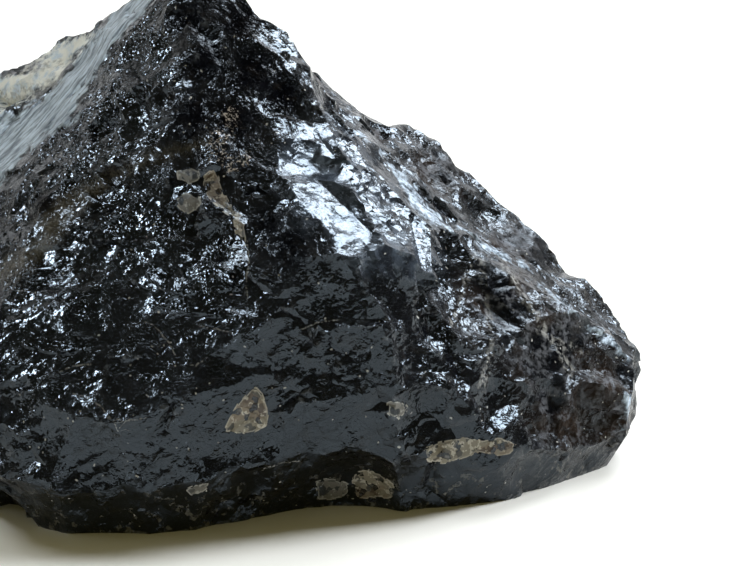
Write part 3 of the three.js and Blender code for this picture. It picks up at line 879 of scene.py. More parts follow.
pixels, depth = see(skin)
seen = in_sight(pixels, depth)
pixel_size = depth / FOCAL_PIXELS  # millimetres
print("points in sight:", int(seen.sum()))

# %% [markdown]
# A mark can be a disc, a line or a closed outline. Each is turned into one
# number per point: for discs a soft share from 0 to 1, and for lines and
# outlines the millimetres from the border, positive inside. A distance can be
# torn by noise later, in the material, and a share of 0 or 1 can't.

# %% Measures of a mark
OUT_OF_SIGHT = -9.0  # millimetres outside every mark


def near_discs(discs):
    """1 in the middle of round places (u, v, radius), falling smoothly to 0 at their rims; 0 out of sight."""
    total = np.zeros(len(skin))
    for u, v, radius in discs:
        share = np.clip(1 - np.linalg.norm(pixels - (u, v), axis=1) / radius, 0, 1)
        total = np.maximum(total, share * share * (3 - 2 * share))
    return np.where(seen, total, 0)


def along_line(line):
    """Millimetres inside the half-width of a line of (u, v, half-width) points; negative outside."""
    best = np.full(len(skin), OUT_OF_SIGHT)
    for (u0, v0, w0), (u1, v1, w1) in zip(line[:-1], line[1:]):
        start, step = np.array([u0, v0]), np.array([u1 - u0, v1 - v0], float)
        share = np.clip((pixels - start) @ step / (step @ step), 0, 1)
        distance = np.linalg.norm(pixels - start - share[:, None] * step, axis=1)
        best = np.maximum(best, (w0 + (w1 - w0) * share - distance) * pixel_size)
    return np.where(seen, best, OUT_OF_SIGHT)


def in_outline(corners):
    """Millimetres inside a closed outline of (u, v) corners; negative outside."""
    corners = np.array(corners, float)
    inside = np.zeros(len(skin), bool)
    distance = np.full(len(skin), np.inf)
    for start, end in zip(corners, np.roll(corners, -1, axis=0)):
        step = end - start
        share = np.clip((pixels - start) @ step / (step @ step), 0, 1)
        distance = np.minimum(distance, np.linalg.norm(pixels - start - share[:, None] * step, axis=1))
        crosses = (pixels[:, 1] < start[1]) != (pixels[:, 1] < end[1])
        reach = start[0] + (pixels[:, 1] - start[1]) * step[0] / (step[1] if step[1] else 1e-9)
        inside ^= crosses & (pixels[:, 0] < reach)
    return np.where(seen, np.where(inside, distance, -distance) * pixel_size, OUT_OF_SIGHT)


# %% [markdown]
# A few points are enough for each mark, because the noise gives it its real
# outline later. Discs are written as (u, v, radius), lines as (u, v,
# half-width), arcs and outlines as (u, v).

# %% The marked places
GLASSY_PLACES = [  # clean glassy faces
    (280, 228, 42), (95, 282, 55), (100, 350, 85), (200, 350, 95), (275, 350, 60), (120, 475, 85),
    (210, 440, 80), (330, 450, 75), (250, 495, 60), (430, 480, 70), (340, 350, 60), (420, 380, 60),
    (500, 470, 60), (150, 130, 40), (190, 90, 45), (20, 400, 60), (60, 450, 70), (30, 300, 40),
]
SUGAR_PLACES = [  # faces that broke into small glittering facets
    (115, 95, 55), (95, 130, 45), (75, 175, 42), (145, 40, 40), (250, 25, 36), (205, 140, 40), (170, 225, 34),
    (215, 265, 30), (20, 280, 36), (235, 90, 30), (120, 220, 34), (60, 150, 40), (175, 300, 30),
    (270, 70, 24),
]
GLARE_PLACES = [  # the bright field of stepped faces
    (320, 152, 52), (300, 165, 40), (350, 165, 40), (315, 200, 48), (350, 215, 50), (375, 200, 40),
    (395, 245, 46), (420, 262, 34), (370, 250, 40), (330, 180, 40),
]
GLINT_LINES = [  # smaller stepped faces that catch the light
    [(231, 250, 14), (232, 268, 17), (236, 278, 10)], [(172, 308, 4), (215, 312, 5), (255, 313, 4)],
    [(152, 272, 7), (166, 282, 8), (176, 290, 5)], [(28, 342, 5), (50, 347, 6), (72, 350, 4)],
    [(248, 188, 7), (262, 192, 5)], [(130, 75, 7), (142, 96, 7)], [(60, 128, 6), (72, 140, 8)],
    [(0, 236, 6), (22, 242, 6)],
]
SHADED_PLACES = [  # duller, darker places
    (205, 60, 55), (250, 70, 55), (190, 115, 52), (240, 20, 45), (190, 20, 45), (285, 95, 38), (235, 120, 50),
    (270, 225, 36), (290, 245, 46), (45, 205, 34),
]
CELL_PLACES = [  # rough brownish cells on the right end
    (500, 300, 65), (555, 340, 80), (600, 385, 60), (560, 415, 60), (500, 250, 45), (620, 430, 45),
    (440, 170, 50), (520, 240, 45),
]
LEFT_BEVEL = [  # bevel beside the left ridge: frosting, and a painted reflection of the bright room
    (124, -10), (156, -10), (131, 30), (112, 46), (104, 64), (89, 89), (70, 120), (46, 137), (24, 160),
    (-10, 198), (-34, 232), (-52, 214), (-70, 170), (-48, 120), (-10, 112), (20, 108), (52, 88), (80, 54),
    (96, 30),
]
LEDGE = [  # pale ledge behind it: frosting, and a painted reflection of the bright room
    (-50, 84), (-10, 78), (32, 68), (40, 58), (60, 44), (78, 35), (90, 34), (78, 56), (52, 84), (20, 104),
    (-10, 110), (-44, 116),
]
RIGHT_BEVEL = [  # bevel below the right ridge: frosting, and a painted reflection of the bright room
    (372, 148), (390, 160), (409, 178), (425, 196), (448, 214), (452, 234), (425, 221), (409, 208),
    (394, 184),
]
RIDGE_LINE = [  # bruised line down the right ridge, coloured like the bevels with a painted reflection
    (250, -5, 2), (285, 32, 2), (309, 59, 2), (346, 106, 3), (362, 136, 4), (376, 151, 4), (390, 162, 4),
    (409, 181, 3), (425, 199, 3), (446, 216, 5), (465, 232, 4), (486, 248, 4), (509, 258, 3), (528, 268, 3),
    (544, 285, 3), (560, 298, 4), (585, 325, 4), (600, 332, 5), (617, 346, 5), (630, 360, 3),
]
END_STREAK = [  # bruised streak round the right end, coloured like the bevels with a painted reflection
    (626, 355, 2), (629, 385, 3), (627, 410, 3), (620, 438, 2),
]
FUZZY_VEIN = [  # soft olive vein
    (-5, 278, 7), (40, 250, 9), (50, 225, 12), (75, 200, 9), (115, 175, 4), (150, 158, 2), (180, 150, 2),
    (205, 143, 1),
]
LEDGE_VEINS = [  # veins on the ledge
    [(-5, 97, 6), (30, 91, 6), (62, 80, 4)], [(30, 70, 3), (60, 62, 3)],
]
SPECKLED_VEIN = [  # vein of pale specks
    (232, 112, 6), (224, 132, 8), (214, 150, 7), (226, 163, 7), (245, 160, 6),
]
FAN_VEINS = [  # thin veins that spread over the right end
    [(481, 262, 3), (484, 290, 2), (489, 320, 2), (491, 342, 2)],
    [(500, 258, 2), (520, 290, 3), (545, 330, 3), (572, 372, 3)],
    [(474, 256, 2), (463, 290, 2), (452, 325, 2)], [(540, 330, 2), (560, 345, 3), (590, 352, 2)],
    [(492, 345, 2), (486, 370, 3), (480, 390, 3)],
]
CRACK_ARCS = [  # hairline cracks
    [(74, 394), (88, 398), (100, 405), (112, 420), (120, 434)], [(109, 419), (128, 421), (146, 418)],
    [(146, 322), (154, 325), (160, 332), (170, 345), (176, 356)], [(200, 326), (215, 329), (233, 333)],
    [(188, 364), (195, 366), (206, 358)], [(247, 240), (249, 262), (246, 280), (248, 300)],
    [(300, 330), (318, 322), (338, 320)], [(60, 372), (72, 366), (90, 364)],
    [(262, 470), (280, 463), (300, 461)],
]
GREY_CHIPS = [  # chips of grey crust
    [(177, 172), (190, 168), (202, 172), (199, 180), (188, 184), (179, 180)],
    [(174, 198), (187, 193), (201, 199), (197, 208), (187, 214), (180, 207)],
    [(388, 403), (400, 400), (408, 408), (398, 420), (388, 414)],
    [(185, 490), (205, 481), (210, 485), (192, 497)],
    [(316, 482), (332, 478), (348, 484), (346, 497), (318, 499)],
]
TAN_CHIPS = [  # chips of tan crust
    [(204, 176), (212, 170), (218, 178), (222, 190), (230, 205), (242, 216), (236, 219), (222, 210),
     (210, 197), (203, 186)], [(233, 218), (245, 222), (245, 245), (238, 240)],
    [(254, 386), (262, 395), (268, 412), (266, 426), (250, 434), (223, 433), (232, 415), (240, 402)],
    [(353, 475), (364, 470), (380, 474), (394, 486), (392, 497), (370, 497), (355, 497)],
    [(423, 450), (440, 442), (466, 437), (483, 441), (500, 437), (515, 443), (512, 452), (490, 456),
     (476, 452), (466, 457), (445, 463), (428, 461)],
]


ARC_OVERRUN = 1.0  # pixels by which a thin line runs on past its last point


def across_arcs(arcs):
    """Signed millimetres across the nearest of many thin lines, and millimetres short of where it ends."""
    nearest = np.full(len(skin), np.inf)
    across = np.full(len(skin), -OUT_OF_SIGHT)
    within = np.full(len(skin), OUT_OF_SIGHT)
    for arc in arcs:
        arc = np.array(arc, float)
        for start, end in zip(arc[:-1], arc[1:]):
            step = end - start
            along = (pixels - start) @ step / np.linalg.norm(step)
            aside = (pixels - start) @ np.array([-step[1], step[0]]) / np.linalg.norm(step)
            beyond = np.maximum(np.maximum(-along, along - np.linalg.norm(step)), 0)
            distance = np.hypot(aside, beyond)
            closer = distance < nearest
            nearest = np.where(closer, distance, nearest)
            across = np.where(closer, aside, across)
            within = np.where(closer, ARC_OVERRUN - beyond, within)
    return (np.where(seen, across * pixel_size, -OUT_OF_SIGHT),
            np.where(seen, within * pixel_size, OUT_OF_SIGHT))


# %% [markdown]
# All measures are stored on the mesh as point attributes, which the material
# reads by name. The side out of sight has no marks of its own. There the
# glittering and the brownish faces follow the slow waves across the lump.

# %% Mark the skin
THIN_FROST_AND_REFLECTION = 0.5  # millimetres by which the frosting and painted reflection along the right ridge are narrower than its line
HIDDEN_SUGAR = (2.0, -0.9)  # a slope and a start: high waves glitter
HIDDEN_CELLS = (-2.4, 1.2)  # and low waves are brownish
CLEAN_GAIN = 1.6  # a glassy place is wholly clean this much sooner than its disc says

waves = rough_place(skin + SHIFT)


def out_of_sight(slope, start):
    """Out of sight, the waves times a slope plus a start, held between 0 and 1; 0 in sight."""
    return ~seen * np.clip(waves * slope + start, 0, 1)


sugar = np.maximum(near_discs(SUGAR_PLACES), out_of_sight(*HIDDEN_SUGAR))
bevels = [in_outline(LEFT_BEVEL)] + [inside - THIN_FROST_AND_REFLECTION for inside in (
    in_outline(RIGHT_BEVEL), along_line(RIDGE_LINE), along_line(END_STREAK))]
arc_across, arc_within = across_arcs(CRACK_ARCS)
marks = {
    "sugar": sugar,
    "cells": np.maximum(near_discs(CELL_PLACES), out_of_sight(*HIDDEN_CELLS)),
    "glass": np.clip(near_discs(GLASSY_PLACES) * CLEAN_GAIN - sugar, 0, 1),
    "glare": near_discs(GLARE_PLACES),
    "shaded": near_discs(SHADED_PLACES),
    "glints": np.maximum.reduce([along_line(line) for line in GLINT_LINES]),
    # frosting on the bevels and ridge lines; its colour is partly a painted reflection of the bright room
    "frost": np.maximum.reduce(bevels),
    # the pale ledge, coloured as frosting and a painted reflection of the bright room
    "ledge": in_outline(LEDGE),
    "veins": np.maximum.reduce([along_line(line) for line in LEDGE_VEINS + FAN_VEINS]),
    "tan": np.maximum.reduce([in_outline(outline) for outline in TAN_CHIPS]),
    "grey": np.maximum.reduce([in_outline(outline) for outline in GREY_CHIPS]),
    "fuzz": along_line(FUZZY_VEIN),
    "specks": along_line(SPECKLED_VEIN),
    "arc_across": arc_across,
    "arc_within": arc_within,
}
for name, values in marks.items():
    add_mask(lump, name, values)

# %% [markdown]
# ## The finish, step by step
#
# A material is a tree of nodes. Written out by hand it gets long, so a few
# helpers come first: each adds one node, links its inputs and gives back the
# output that the next step needs.

# %% Shader helpers
def add_node(tree, kind, inputs=None, **settings):
    """A node of a kind, with its settings and its inputs: a plain value, or a socket to link."""
    node = tree.nodes.new(kind)
    for name, value in settings.items():
        setattr(node, name, value)
    for name, value in (inputs or {}).items():
        if isinstance(value, bpy.types.NodeSocket):
            tree.links.new(value, node.inputs[name])
        else:
            node.inputs[name].default_value = value
    return node


def calculate(tree, operation, *values):
    """One step of arithmetic."""
    return add_node(tree, "ShaderNodeMath", dict(enumerate(values)), operation=operation).outputs[0]


def times(tree, first, second):
    """The product of two values."""
    return calculate(tree, "MULTIPLY", first, second)


def add_share(tree, value, share, base):
    """A share of a value on top of a base: value times share plus base."""
    return calculate(tree, "MULTIPLY_ADD", value, share, base)


def centred(tree, noise):
    """Noise from 0 to 1 as noise about 0."""
    return calculate(tree, "SUBTRACT", noise, 0.5)


def vector_step(tree, operation, inputs, output=0):
    """One step of arithmetic with vectors."""
    return add_node(tree, "ShaderNodeVectorMath", inputs, operation=operation).outputs[output]


def ramp(tree, value, low, high, to_low=0.0, to_high=1.0):
    """A value from low to high stretched smoothly to another range."""
    inputs = {"Value": value, "From Min": low, "From Max": high, "To Min": to_low, "To Max": to_high}
    return add_node(tree, "ShaderNodeMapRange", inputs, interpolation_type="SMOOTHSTEP").outputs["Result"]


def blend_colour(tree, share, first, second):
    """A mix of two colours."""
    inputs = {0: share, 6: first, 7: second}
    return add_node(tree, "ShaderNodeMix", inputs, data_type="RGBA").outputs[2]


# %% [markdown]
# Broken quartz is made of small flat facets that all lean differently. A
# Voronoi texture parts space into cells and gives each a random colour. Taken
# as a slope, that colour turns the cell into a tilted plane. It is used in
# three sizes, so it is built once, as a node group.

# %% A group for broken facets
def facet_group():
    """Heights of random flat facets: in each cell of a scatter, a plane tilted by the cell's own colour."""
    group = bpy.data.node_groups.new("broken_facets", "ShaderNodeTree")
    for name, kind in (("Vector", "NodeSocketVector"), ("Size", "NodeSocketFloat")):
        group.interface.new_socket(name, in_out="INPUT", socket_type=kind)
    for name in ("Height", "Tone", "Distance"):
        group.interface.new_socket(name, in_out="OUTPUT", socket_type="NodeSocketFloat")
    start = group.nodes.new("NodeGroupInput").outputs
    end = group.nodes.new("NodeGroupOutput").inputs
    scale = calculate(group, "DIVIDE", 1.0, start["Size"])
    inputs = {"Vector": start["Vector"], "Scale": scale, "Randomness": 1.0}
    cells = add_node(group, "ShaderNodeTexVoronoi", inputs).outputs
    offset = vector_step(group, "SUBTRACT", {0: start["Vector"], 1: cells["Position"]})
    tilt = vector_step(group, "SUBTRACT", {0: cells["Color"], 1: (0.5, 0.5, 0.5)})
    height = vector_step(group, "DOT_PRODUCT", {0: offset, 1: tilt}, "Value")
    group.links.new(times(group, height, 2.0), end["Height"])
    tone = add_node(group, "ShaderNodeSeparateColor", {"Color": cells["Color"]}).outputs[0]
    group.links.new(tone, end["Tone"])
    group.links.new(cells["Distance"], end["Distance"])
    return group


facets = facet_group()
print("group", facets.name, "with", len(facets.nodes), "nodes")


def add_facets(tree, vector, size):
    """The outputs of the facet group, for facets of a size in millimetres."""
    node = tree.nodes.new("ShaderNodeGroup")
    node.node_tree = facets
    tree.links.new(vector, node.inputs["Vector"])
    node.inputs["Size"].default_value = size * MM
    return node.outputs


def add_hollows(tree, vector, size):
    """Heights of small shell-shaped hollows: the squared distance to the nearest of scattered points."""
    inputs = {"Vector": vector, "Scale": 1 / (size * MM)}
    distance = add_node(tree, "ShaderNodeTexVoronoi", inputs).outputs["Distance"]
    return times(tree, times(tree, distance, distance), size * MM)


# %% [markdown]
# The other patterns are noise, noise drawn out along a direction, and rows of
# fine steps. A pattern can also be torn: its place is shifted by more noise
# before it is looked up, so that straight borders turn ragged.

# %% Patterns on the stone
def read_mask(tree, name):
    """A mask that was measured point by point."""
    return add_node(tree, "ShaderNodeAttribute", attribute_name=name).outputs["Fac"]


def add_noise(tree, vector, size, detail=3.0, roughness=0.55):
    """Soft noise with features of a size in millimetres."""
    inputs = {"Vector": vector, "Scale": 1 / (size * MM), "Detail": detail, "Roughness": roughness}
    return add_node(tree, "ShaderNodeTexNoise", inputs).outputs["Fac"]


def drawn_out(tree, vector, way, stretch):
    """The place with its part along a way divided by a stretch, which draws a pattern out that way."""
    way = unit(np.array(way))
    along = vector_step(tree, "DOT_PRODUCT", {0: vector, 1: way}, "Value")
    part = vector_step(tree, "SCALE", {0: way, "Scale": along})
    less = vector_step(tree, "SCALE", {0: part, "Scale": 1 - 1 / stretch})
    return vector_step(tree, "SUBTRACT", {0: vector, 1: less})


BEND_LENGTH = 7  # a row of steps bends over this many steps


def add_steps(tree, vector, way, size, wander):
    """Heights of a row of steps: the place along a way, shifted by noise, less the whole steps in it."""
    way = unit(np.array(way))
    along = vector_step(tree, "DOT_PRODUCT", {0: vector, 1: way}, "Value")
    shift = times(tree, add_noise(tree, vector, size * BEND_LENGTH, detail=2.0), wander)
    steps = calculate(tree, "FRACT", add_share(tree, along, 1 / (size * MM), shift))
    return times(tree, steps, size * MM)


def ruffled(tree, vector, size, amount):
    """The place moved about by soft noise, by up to an amount in millimetres, so that borders turn ragged."""
    noise = add_node(tree, "ShaderNodeTexNoise", {"Vector": vector, "Scale": 1 / (size * MM), "Detail": 3.0})
    about = vector_step(tree, "SUBTRACT", {0: noise.outputs["Color"], 1: (0.5, 0.5, 0.5)})
    shift = vector_step(tree, "SCALE", {0: about, "Scale": 2 * amount * MM})
    return vector_step(tree, "ADD", {0: vector, 1: shift})


def stone_patterns(tree):
    """Every pattern that the finish uses more than once, by name, from the broadest to the finest."""
    place = tree.nodes.new("ShaderNodeTexCoord").outputs["Object"]
    torn_place = ruffled(tree, place, size=2.4, amount=1.1)
    return SimpleNamespace(
        place=place, torn_place=torn_place,
        patches=add_noise(tree, place, size=11.0, detail=2.0, roughness=0.6),
        coarse=add_facets(tree, torn_place, size=3.6),
        ragged=add_noise(tree, place, size=2.6, detail=3.0, roughness=0.65),
        middle=add_facets(tree, torn_place, size=1.2),
        grain=add_noise(tree, place, size=1.1, detail=2.0, roughness=0.6),
        dust=add_noise(tree, place, size=0.4, detail=1.0),
        sugar=read_mask(tree, "sugar"), cells=read_mask(tree, "cells"), glass=read_mask(tree, "glass"),
        glare=read_mask(tree, "glare"), shaded=read_mask(tree, "shaded"))


# %% [markdown]
# Black gloss is seen by the way it leans, so the relief matters more than any
# colour. All heights are added up and go through one Bump node. Where the stone
# broke cleanly they are held down, and on the bright field rows of steps lean
# the skin towards the large window.

# %% The heights of the broken skin
LEFT_RIDGE_WAY = (-0.60, -0.26, -0.76)
LEAF_WAY = (0.8, -0.1, 0.6)
STEP_WAY = (-0.80, -0.56, -0.20)  # down the bright field, away from the window
# How strong each relief is, from where its mask is 0 to where it is 1.
LEAVES = (0.03, 0.22)  # drawn-out hollows, where the noise is leafy
COARSE = (0.17, 0.07)  # coarse facets, weaker on glassy faces
MIDDLE = (0.02, 0.33)  # middle facets, where the stone is rough
FINE = (0.07, 0.4)  # fine facets, where it glitters
CLEAN_SHARE = 0.12  # what is left of all these where the stone broke cleanly
STEP_SHARES = {"glints": 0.70, "glare": 0.17, "shaded": -0.45}
GROOVE_DEPTH = 0.00008  # metres, on the frosted bevels


def broken_relief(tree, pattern):
    """Heights of hollows and of facets in three sizes, each strong only where the stone broke that way."""
    leafy = add_share(tree, centred(tree, pattern.ragged), 0.5, pattern.patches)
    rough = calculate(tree, "MAXIMUM", pattern.sugar, times(tree, pattern.cells, 0.3))
    rough = add_share(tree, pattern.shaded, -0.8, rough)
    leaves = add_hollows(tree, drawn_out(tree, pattern.torn_place, LEAF_WAY, stretch=2.6), size=1.9)
    fine = add_facets(tree, pattern.torn_place, size=0.55)
    height = times(tree, leaves, ramp(tree, leafy, 0.47, 0.56, *LEAVES))
    for facet, mask, strengths in ((pattern.coarse, pattern.glass, COARSE), (pattern.middle, rough, MIDDLE),
                                   (fine, pattern.sugar, FINE)):
        height = add_share(tree, facet["Height"], ramp(tree, mask, 0.0, 1.0, *strengths), height)
    return height


def skin_normal(tree, pattern):
    """The broken relief, held down on clean faces, with rows of steps and fine grooves on top."""
    frost = ramp(tree, read_mask(tree, "frost"), -0.3, 0.8)
    glints = ramp(tree, read_mask(tree, "glints"), -0.3, 0.5)
    clean = calculate(tree, "MAXIMUM", frost, glints)
    clean = calculate(tree, "MAXIMUM", clean, times(tree, pattern.glare, 0.8))
    height = times(tree, broken_relief(tree, pattern), ramp(tree, clean, 0.0, 1.0, 1.0, CLEAN_SHARE))
    steps = add_steps(tree, pattern.torn_place, STEP_WAY, size=1.6, wander=5.0)
    step_share = times(tree, pattern.glare, STEP_SHARES["glare"])
    step_share = add_share(tree, glints, STEP_SHARES["glints"], step_share)
    step_share = add_share(tree, pattern.shaded, STEP_SHARES["shaded"], step_share)
    height = add_share(tree, steps, step_share, height)
    grooved = drawn_out(tree, pattern.place, LEFT_RIDGE_WAY, stretch=9.0)
    grooves = add_noise(tree, grooved, size=0.5, detail=2.0, roughness=0.6)
    height = add_share(tree, grooves, times(tree, frost, GROOVE_DEPTH), height)
    bump = add_node(tree, "ShaderNodeBump", {"Height": height, "Distance": 1.0, "Strength": 1.0})
    return bump.outputs["Normal"]


# %% [markdown]
# Next come the marks. A measured outline is too smooth for broken stone, so
# noise is added to the millimetres before they become a share: the border then
# wanders. Chips of crust follow the borders of small splinters instead, and
# some marks are broken up into grains.

# %% The shares of the marks
CRUST_EDGE = 0.06  # millimetres over which a chip of crust begins
BRUISED_FOOT = (2.0 * MM, 13.0 * MM)  # heights over which the bruises of the foot fade out


def torn(tree, pattern, name, low, high, fine=2.4, broad=0.0):
    """A mark whose outline is torn by fine noise and swept by broad noise, from 0 outside to 1 inside."""
    edge = add_share(tree, centred(tree, pattern.ragged), fine, read_mask(tree, name))
    edge = add_share(tree, centred(tree, pattern.patches), broad, edge)
    return ramp(tree, edge, low, high)


def chipped(tree, pattern, name):
    """Millimetres inside a mark whose outline follows the borders of small splinters."""
    edge = add_share(tree, centred(tree, pattern.middle["Tone"]), 0.7, read_mask(tree, name))
    return add_share(tree, centred(tree, pattern.ragged), 0.3, edge)


def hairlines(tree, pattern):
    """Thin broken lines: the distance across them, made to wander, within their ends."""
    across = add_share(tree, centred(tree, pattern.grain), 0.7, read_mask(tree, "arc_across"))
    lines = ramp(tree, calculate(tree, "ABSOLUTE", across), 0.04, 0.2, 1.0, 0.0)
    lines = times(tree, lines, ramp(tree, read_mask(tree, "arc_within"), -0.3, 0.3))
    return times(tree, lines, ramp(tree, pattern.dust, 0.42, 0.58))


def mark_shares(tree, pattern):
    """How much of each mark there is at a place, from 0 to 1, by name."""
    grain, dust, ragged, splinter = pattern.grain, pattern.dust, pattern.ragged, pattern.middle["Tone"]
    height = add_node(tree, "ShaderNodeSeparateXYZ", {0: pattern.place}).outputs["Z"]
    share = SimpleNamespace(arcs=hairlines(tree, pattern))
    # frosting on the bevels, coloured partly as a painted reflection of the bright room
    share.frost = torn(tree, pattern, "frost", -0.4, 0.8, fine=5.0, broad=5.0)
    share.ledge = torn(tree, pattern, "ledge", -0.8, 1.6, fine=7.0, broad=6.0)
    share.veins = times(tree, torn(tree, pattern, "veins", -0.5, 0.5), ramp(tree, grain, 0.42, 0.62))
    share.fuzz = torn(tree, pattern, "fuzz", -2.2, 3.4, fine=3.5)
    share.fuzz = times(tree, share.fuzz, ramp(tree, dust, 0.3, 0.75, 0.35, 1.0))
    share.specks = times(tree, torn(tree, pattern, "specks", -0.8, 0.4, fine=5.0), ramp(tree, dust, 0.5, 0.6))
    share.specks = times(tree, share.specks, ramp(tree, grain, 0.44, 0.56))
    share.tan_edge, share.grey_edge = chipped(tree, pattern, "tan"), chipped(tree, pattern, "grey")
    share.tan = ramp(tree, share.tan_edge, -CRUST_EDGE, CRUST_EDGE)
    share.tan = times(tree, share.tan, ramp(tree, splinter, 0.16, 0.2, 0.25, 1.0))
    share.grey = ramp(tree, share.grey_edge, -CRUST_EDGE, CRUST_EDGE)
    share.bruise = times(tree, ramp(tree, ragged, 0.56, 0.62), ramp(tree, grain, 0.44, 0.56))
    share.bruise = times(tree, ramp(tree, height, *BRUISED_FOOT, 1.0, 0.0), share.bruise)
    share.dots = times(tree, ramp(tree, pattern.middle["Distance"], 0.11, 0.19, 1.0, 0.0),
                       calculate(tree, "GREATER_THAN", splinter, 0.88))
    share.edges = times(tree, read_mask(tree, "ridge"), ramp(tree, grain, 0.42, 0.62))
    share.edges = times(tree, share.edges, ramp(tree, pattern.sugar, 0.0, 0.6, 1.0, 0.2))
    share.smoke = times(tree, pattern.cells, ramp(tree, pattern.patches, 0.42, 0.6))
    share.rims = times(tree, ramp(tree, pattern.coarse["Distance"], 0.42, 0.62), ramp(tree, grain, 0.4, 0.62))
    share.rims = times(tree, share.rims, pattern.cells)
    # a painted sheen: faint blue over the bright field, where the large window is mirrored
    share.haze = times(tree, pattern.glare, ramp(tree, ragged, 0.4, 0.6, 0.3, 1.0))
    return share


# %% [markdown]
# Every mark is then painted over what lies below it: first smoke inside the
# quartz and a painted blue sheen on the bright field, then dots, bruised edges,
# frosting and the ledge, both partly a painted reflection of the bright room,
# then veins and cracks, then the bruised foot, and last the chips of crust,
# which cover everything.

# %% The colours
DEEP_BLACK, WARM_BLACK = (0.0016, 0.0018, 0.0032, 1), (0.0095, 0.0075, 0.006, 1)
# The second colour of the next line is a painted blue sheen on the bright field, where the large window is
# mirrored.
SMOKE, PAINTED_SHEEN = (0.022, 0.015, 0.011, 1), (0.040, 0.052, 0.072, 1)
RIM, DOT = (0.11, 0.115, 0.13, 1), (0.50, 0.50, 0.48, 1)
BRUISED_EDGE, BRUISE, CRACK = (0.26, 0.28, 0.31, 1), (0.19, 0.185, 0.165, 1), (0.32, 0.32, 0.31, 1)
VEIN, FUZZ, SPECK = (0.30, 0.30, 0.29, 1), (0.19, 0.165, 0.11, 1), (0.55, 0.50, 0.47, 1)
# Frosting colours that also stand for a painted reflection of the bright room on the bevels.
FROST_REFLECTION_DARK, FROST_REFLECTION_PALE = (0.09, 0.12, 0.16, 1), (0.60, 0.72, 0.86, 1)
# Ledge colours, bluish and cream: pale frosting with a painted reflection of the bright room.
LEDGE_REFLECTION_BLUE, LEDGE_REFLECTION_CREAM = (0.62, 0.73, 0.85, 1), (0.95, 0.96, 0.92, 1)
RUST = (0.17, 0.085, 0.036, 1)
TAN_CRUST = {
    "dark": (0.05, 0.043, 0.03, 1), "light": (0.20, 0.175, 0.125, 1), "rust_share": 0.25,
    "grain": (0.48, 0.45, 0.38, 1), "grain_noise": (0.54, 0.60), "grain_share": 0.8,
    "rim": (0.46, 0.43, 0.37, 1),
}
GREY_CRUST = {
    "dark": (0.022, 0.021, 0.019, 1), "light": (0.15, 0.14, 0.12, 1), "rust_share": 0.0,
    "grain": (0.40, 0.40, 0.38, 1), "grain_noise": (0.56, 0.64), "grain_share": 0.7,
    "rim": (0.46, 0.45, 0.41, 1),
}


def crust(tree, pattern, edge, look):
    """Splinters of two tones with a breath of rust, pale grains and a pale rim."""
    light = ramp(tree, pattern.middle["Tone"], 0.35, 0.65)
    rust = ramp(tree, pattern.coarse["Tone"], 0.6, 0.7, 0.0, look["rust_share"])
    grains = ramp(tree, pattern.grain, *look["grain_noise"], 0.0, look["grain_share"])
    colour = blend_colour(tree, light, look["dark"], look["light"])
    colour = blend_colour(tree, rust, colour, RUST)
    colour = blend_colour(tree, grains, colour, look["grain"])
    return blend_colour(tree, ramp(tree, edge, 0.08, 0.3, 0.6, 0.0), colour, look["rim"])


def stone_colour(tree, pattern, share):
    """Black quartz with each mark painted over it: its share, how strong it is and its paint."""
    # Streaks of frosting on the bevels, pale blue partly as a painted reflection of the bright room.
    streaked = drawn_out(tree, pattern.place, LEFT_RIDGE_WAY, stretch=7.0)
    streak = add_noise(tree, streaked, size=1.0, detail=3.0, roughness=0.65)
    frosted = blend_colour(tree, ramp(tree, streak, 0.34, 0.66), FROST_REFLECTION_DARK, FROST_REFLECTION_PALE)
    # the ledge: a painted blue reflection of the bright room mixed with cream frosting
    ledge_frost_and_reflection = blend_colour(tree, ramp(tree, pattern.ragged, 0.35, 0.6), LEDGE_REFLECTION_BLUE, LEDGE_REFLECTION_CREAM)
    colour = blend_colour(tree, ramp(tree, pattern.ragged, 0.5, 0.75, 0.0, 0.8), DEEP_BLACK, WARM_BLACK)
    tan_crust = crust(tree, pattern, share.tan_edge, TAN_CRUST)
    grey_crust = crust(tree, pattern, share.grey_edge, GREY_CRUST)
    for mark, strength, paint in (
            (share.smoke, 1.0, SMOKE), (share.haze, 1.0, PAINTED_SHEEN), (share.rims, 0.8, RIM),
            (share.dots, 0.8, DOT), (share.edges, 0.5, BRUISED_EDGE), (share.frost, 0.9, frosted),
            (share.ledge, 0.9, ledge_frost_and_reflection), (share.veins, 0.7, VEIN), (share.fuzz, 0.65, FUZZ),
            (share.specks, 1.0, SPECK), (share.arcs, 0.7, CRACK), (share.bruise, 0.55, BRUISE),
            (share.tan, 0.95, tan_crust), (share.grey, 0.9, grey_crust)):
        colour = blend_colour(tree, times(tree, mark, strength), colour, paint)
    return colour


# %% [markdown]
# What is left is how glossy the skin is. Quartz mirrors about 5 percent of the
# light that meets it squarely, and bruises and crust scatter it, so they get
# more roughness. The rough cells and the dull places are so finely broken that
# hardly any clear reflection is left, so their mirror strength goes down too.

# %% The black quartz
QUARTZ_IOR = 1.544
GLOSS_TINT = (0.72, 0.86, 1.0, 1.0)  # the reflections are a little blue
GLASSY = (0.1, 0.22)  # roughness of the clean skin
MIRROR = (0.5, 0.0)  # mirror strength of clean and of wholly dull skin
DULLNESS = {"shaded": 0.9, "cells": 0.75}


def stone_roughness(tree, pattern, share):
    """Roughness of the clean skin, and what each mark adds to it."""
    roughness = ramp(tree, pattern.ragged, 0.35, 0.65, *GLASSY)
    for mark, amount in ((pattern.sugar, -0.06), (pattern.cells, 0.12), (pattern.glare, 0.05),
                         (share.rims, 0.2), (share.edges, 0.2), (share.frost, 0.26), (share.ledge, 0.3),
                         (share.fuzz, 0.2), (share.tan, 0.3), (share.grey, 0.3)):
        roughness = add_share(tree, mark, amount, roughness)
    return roughness


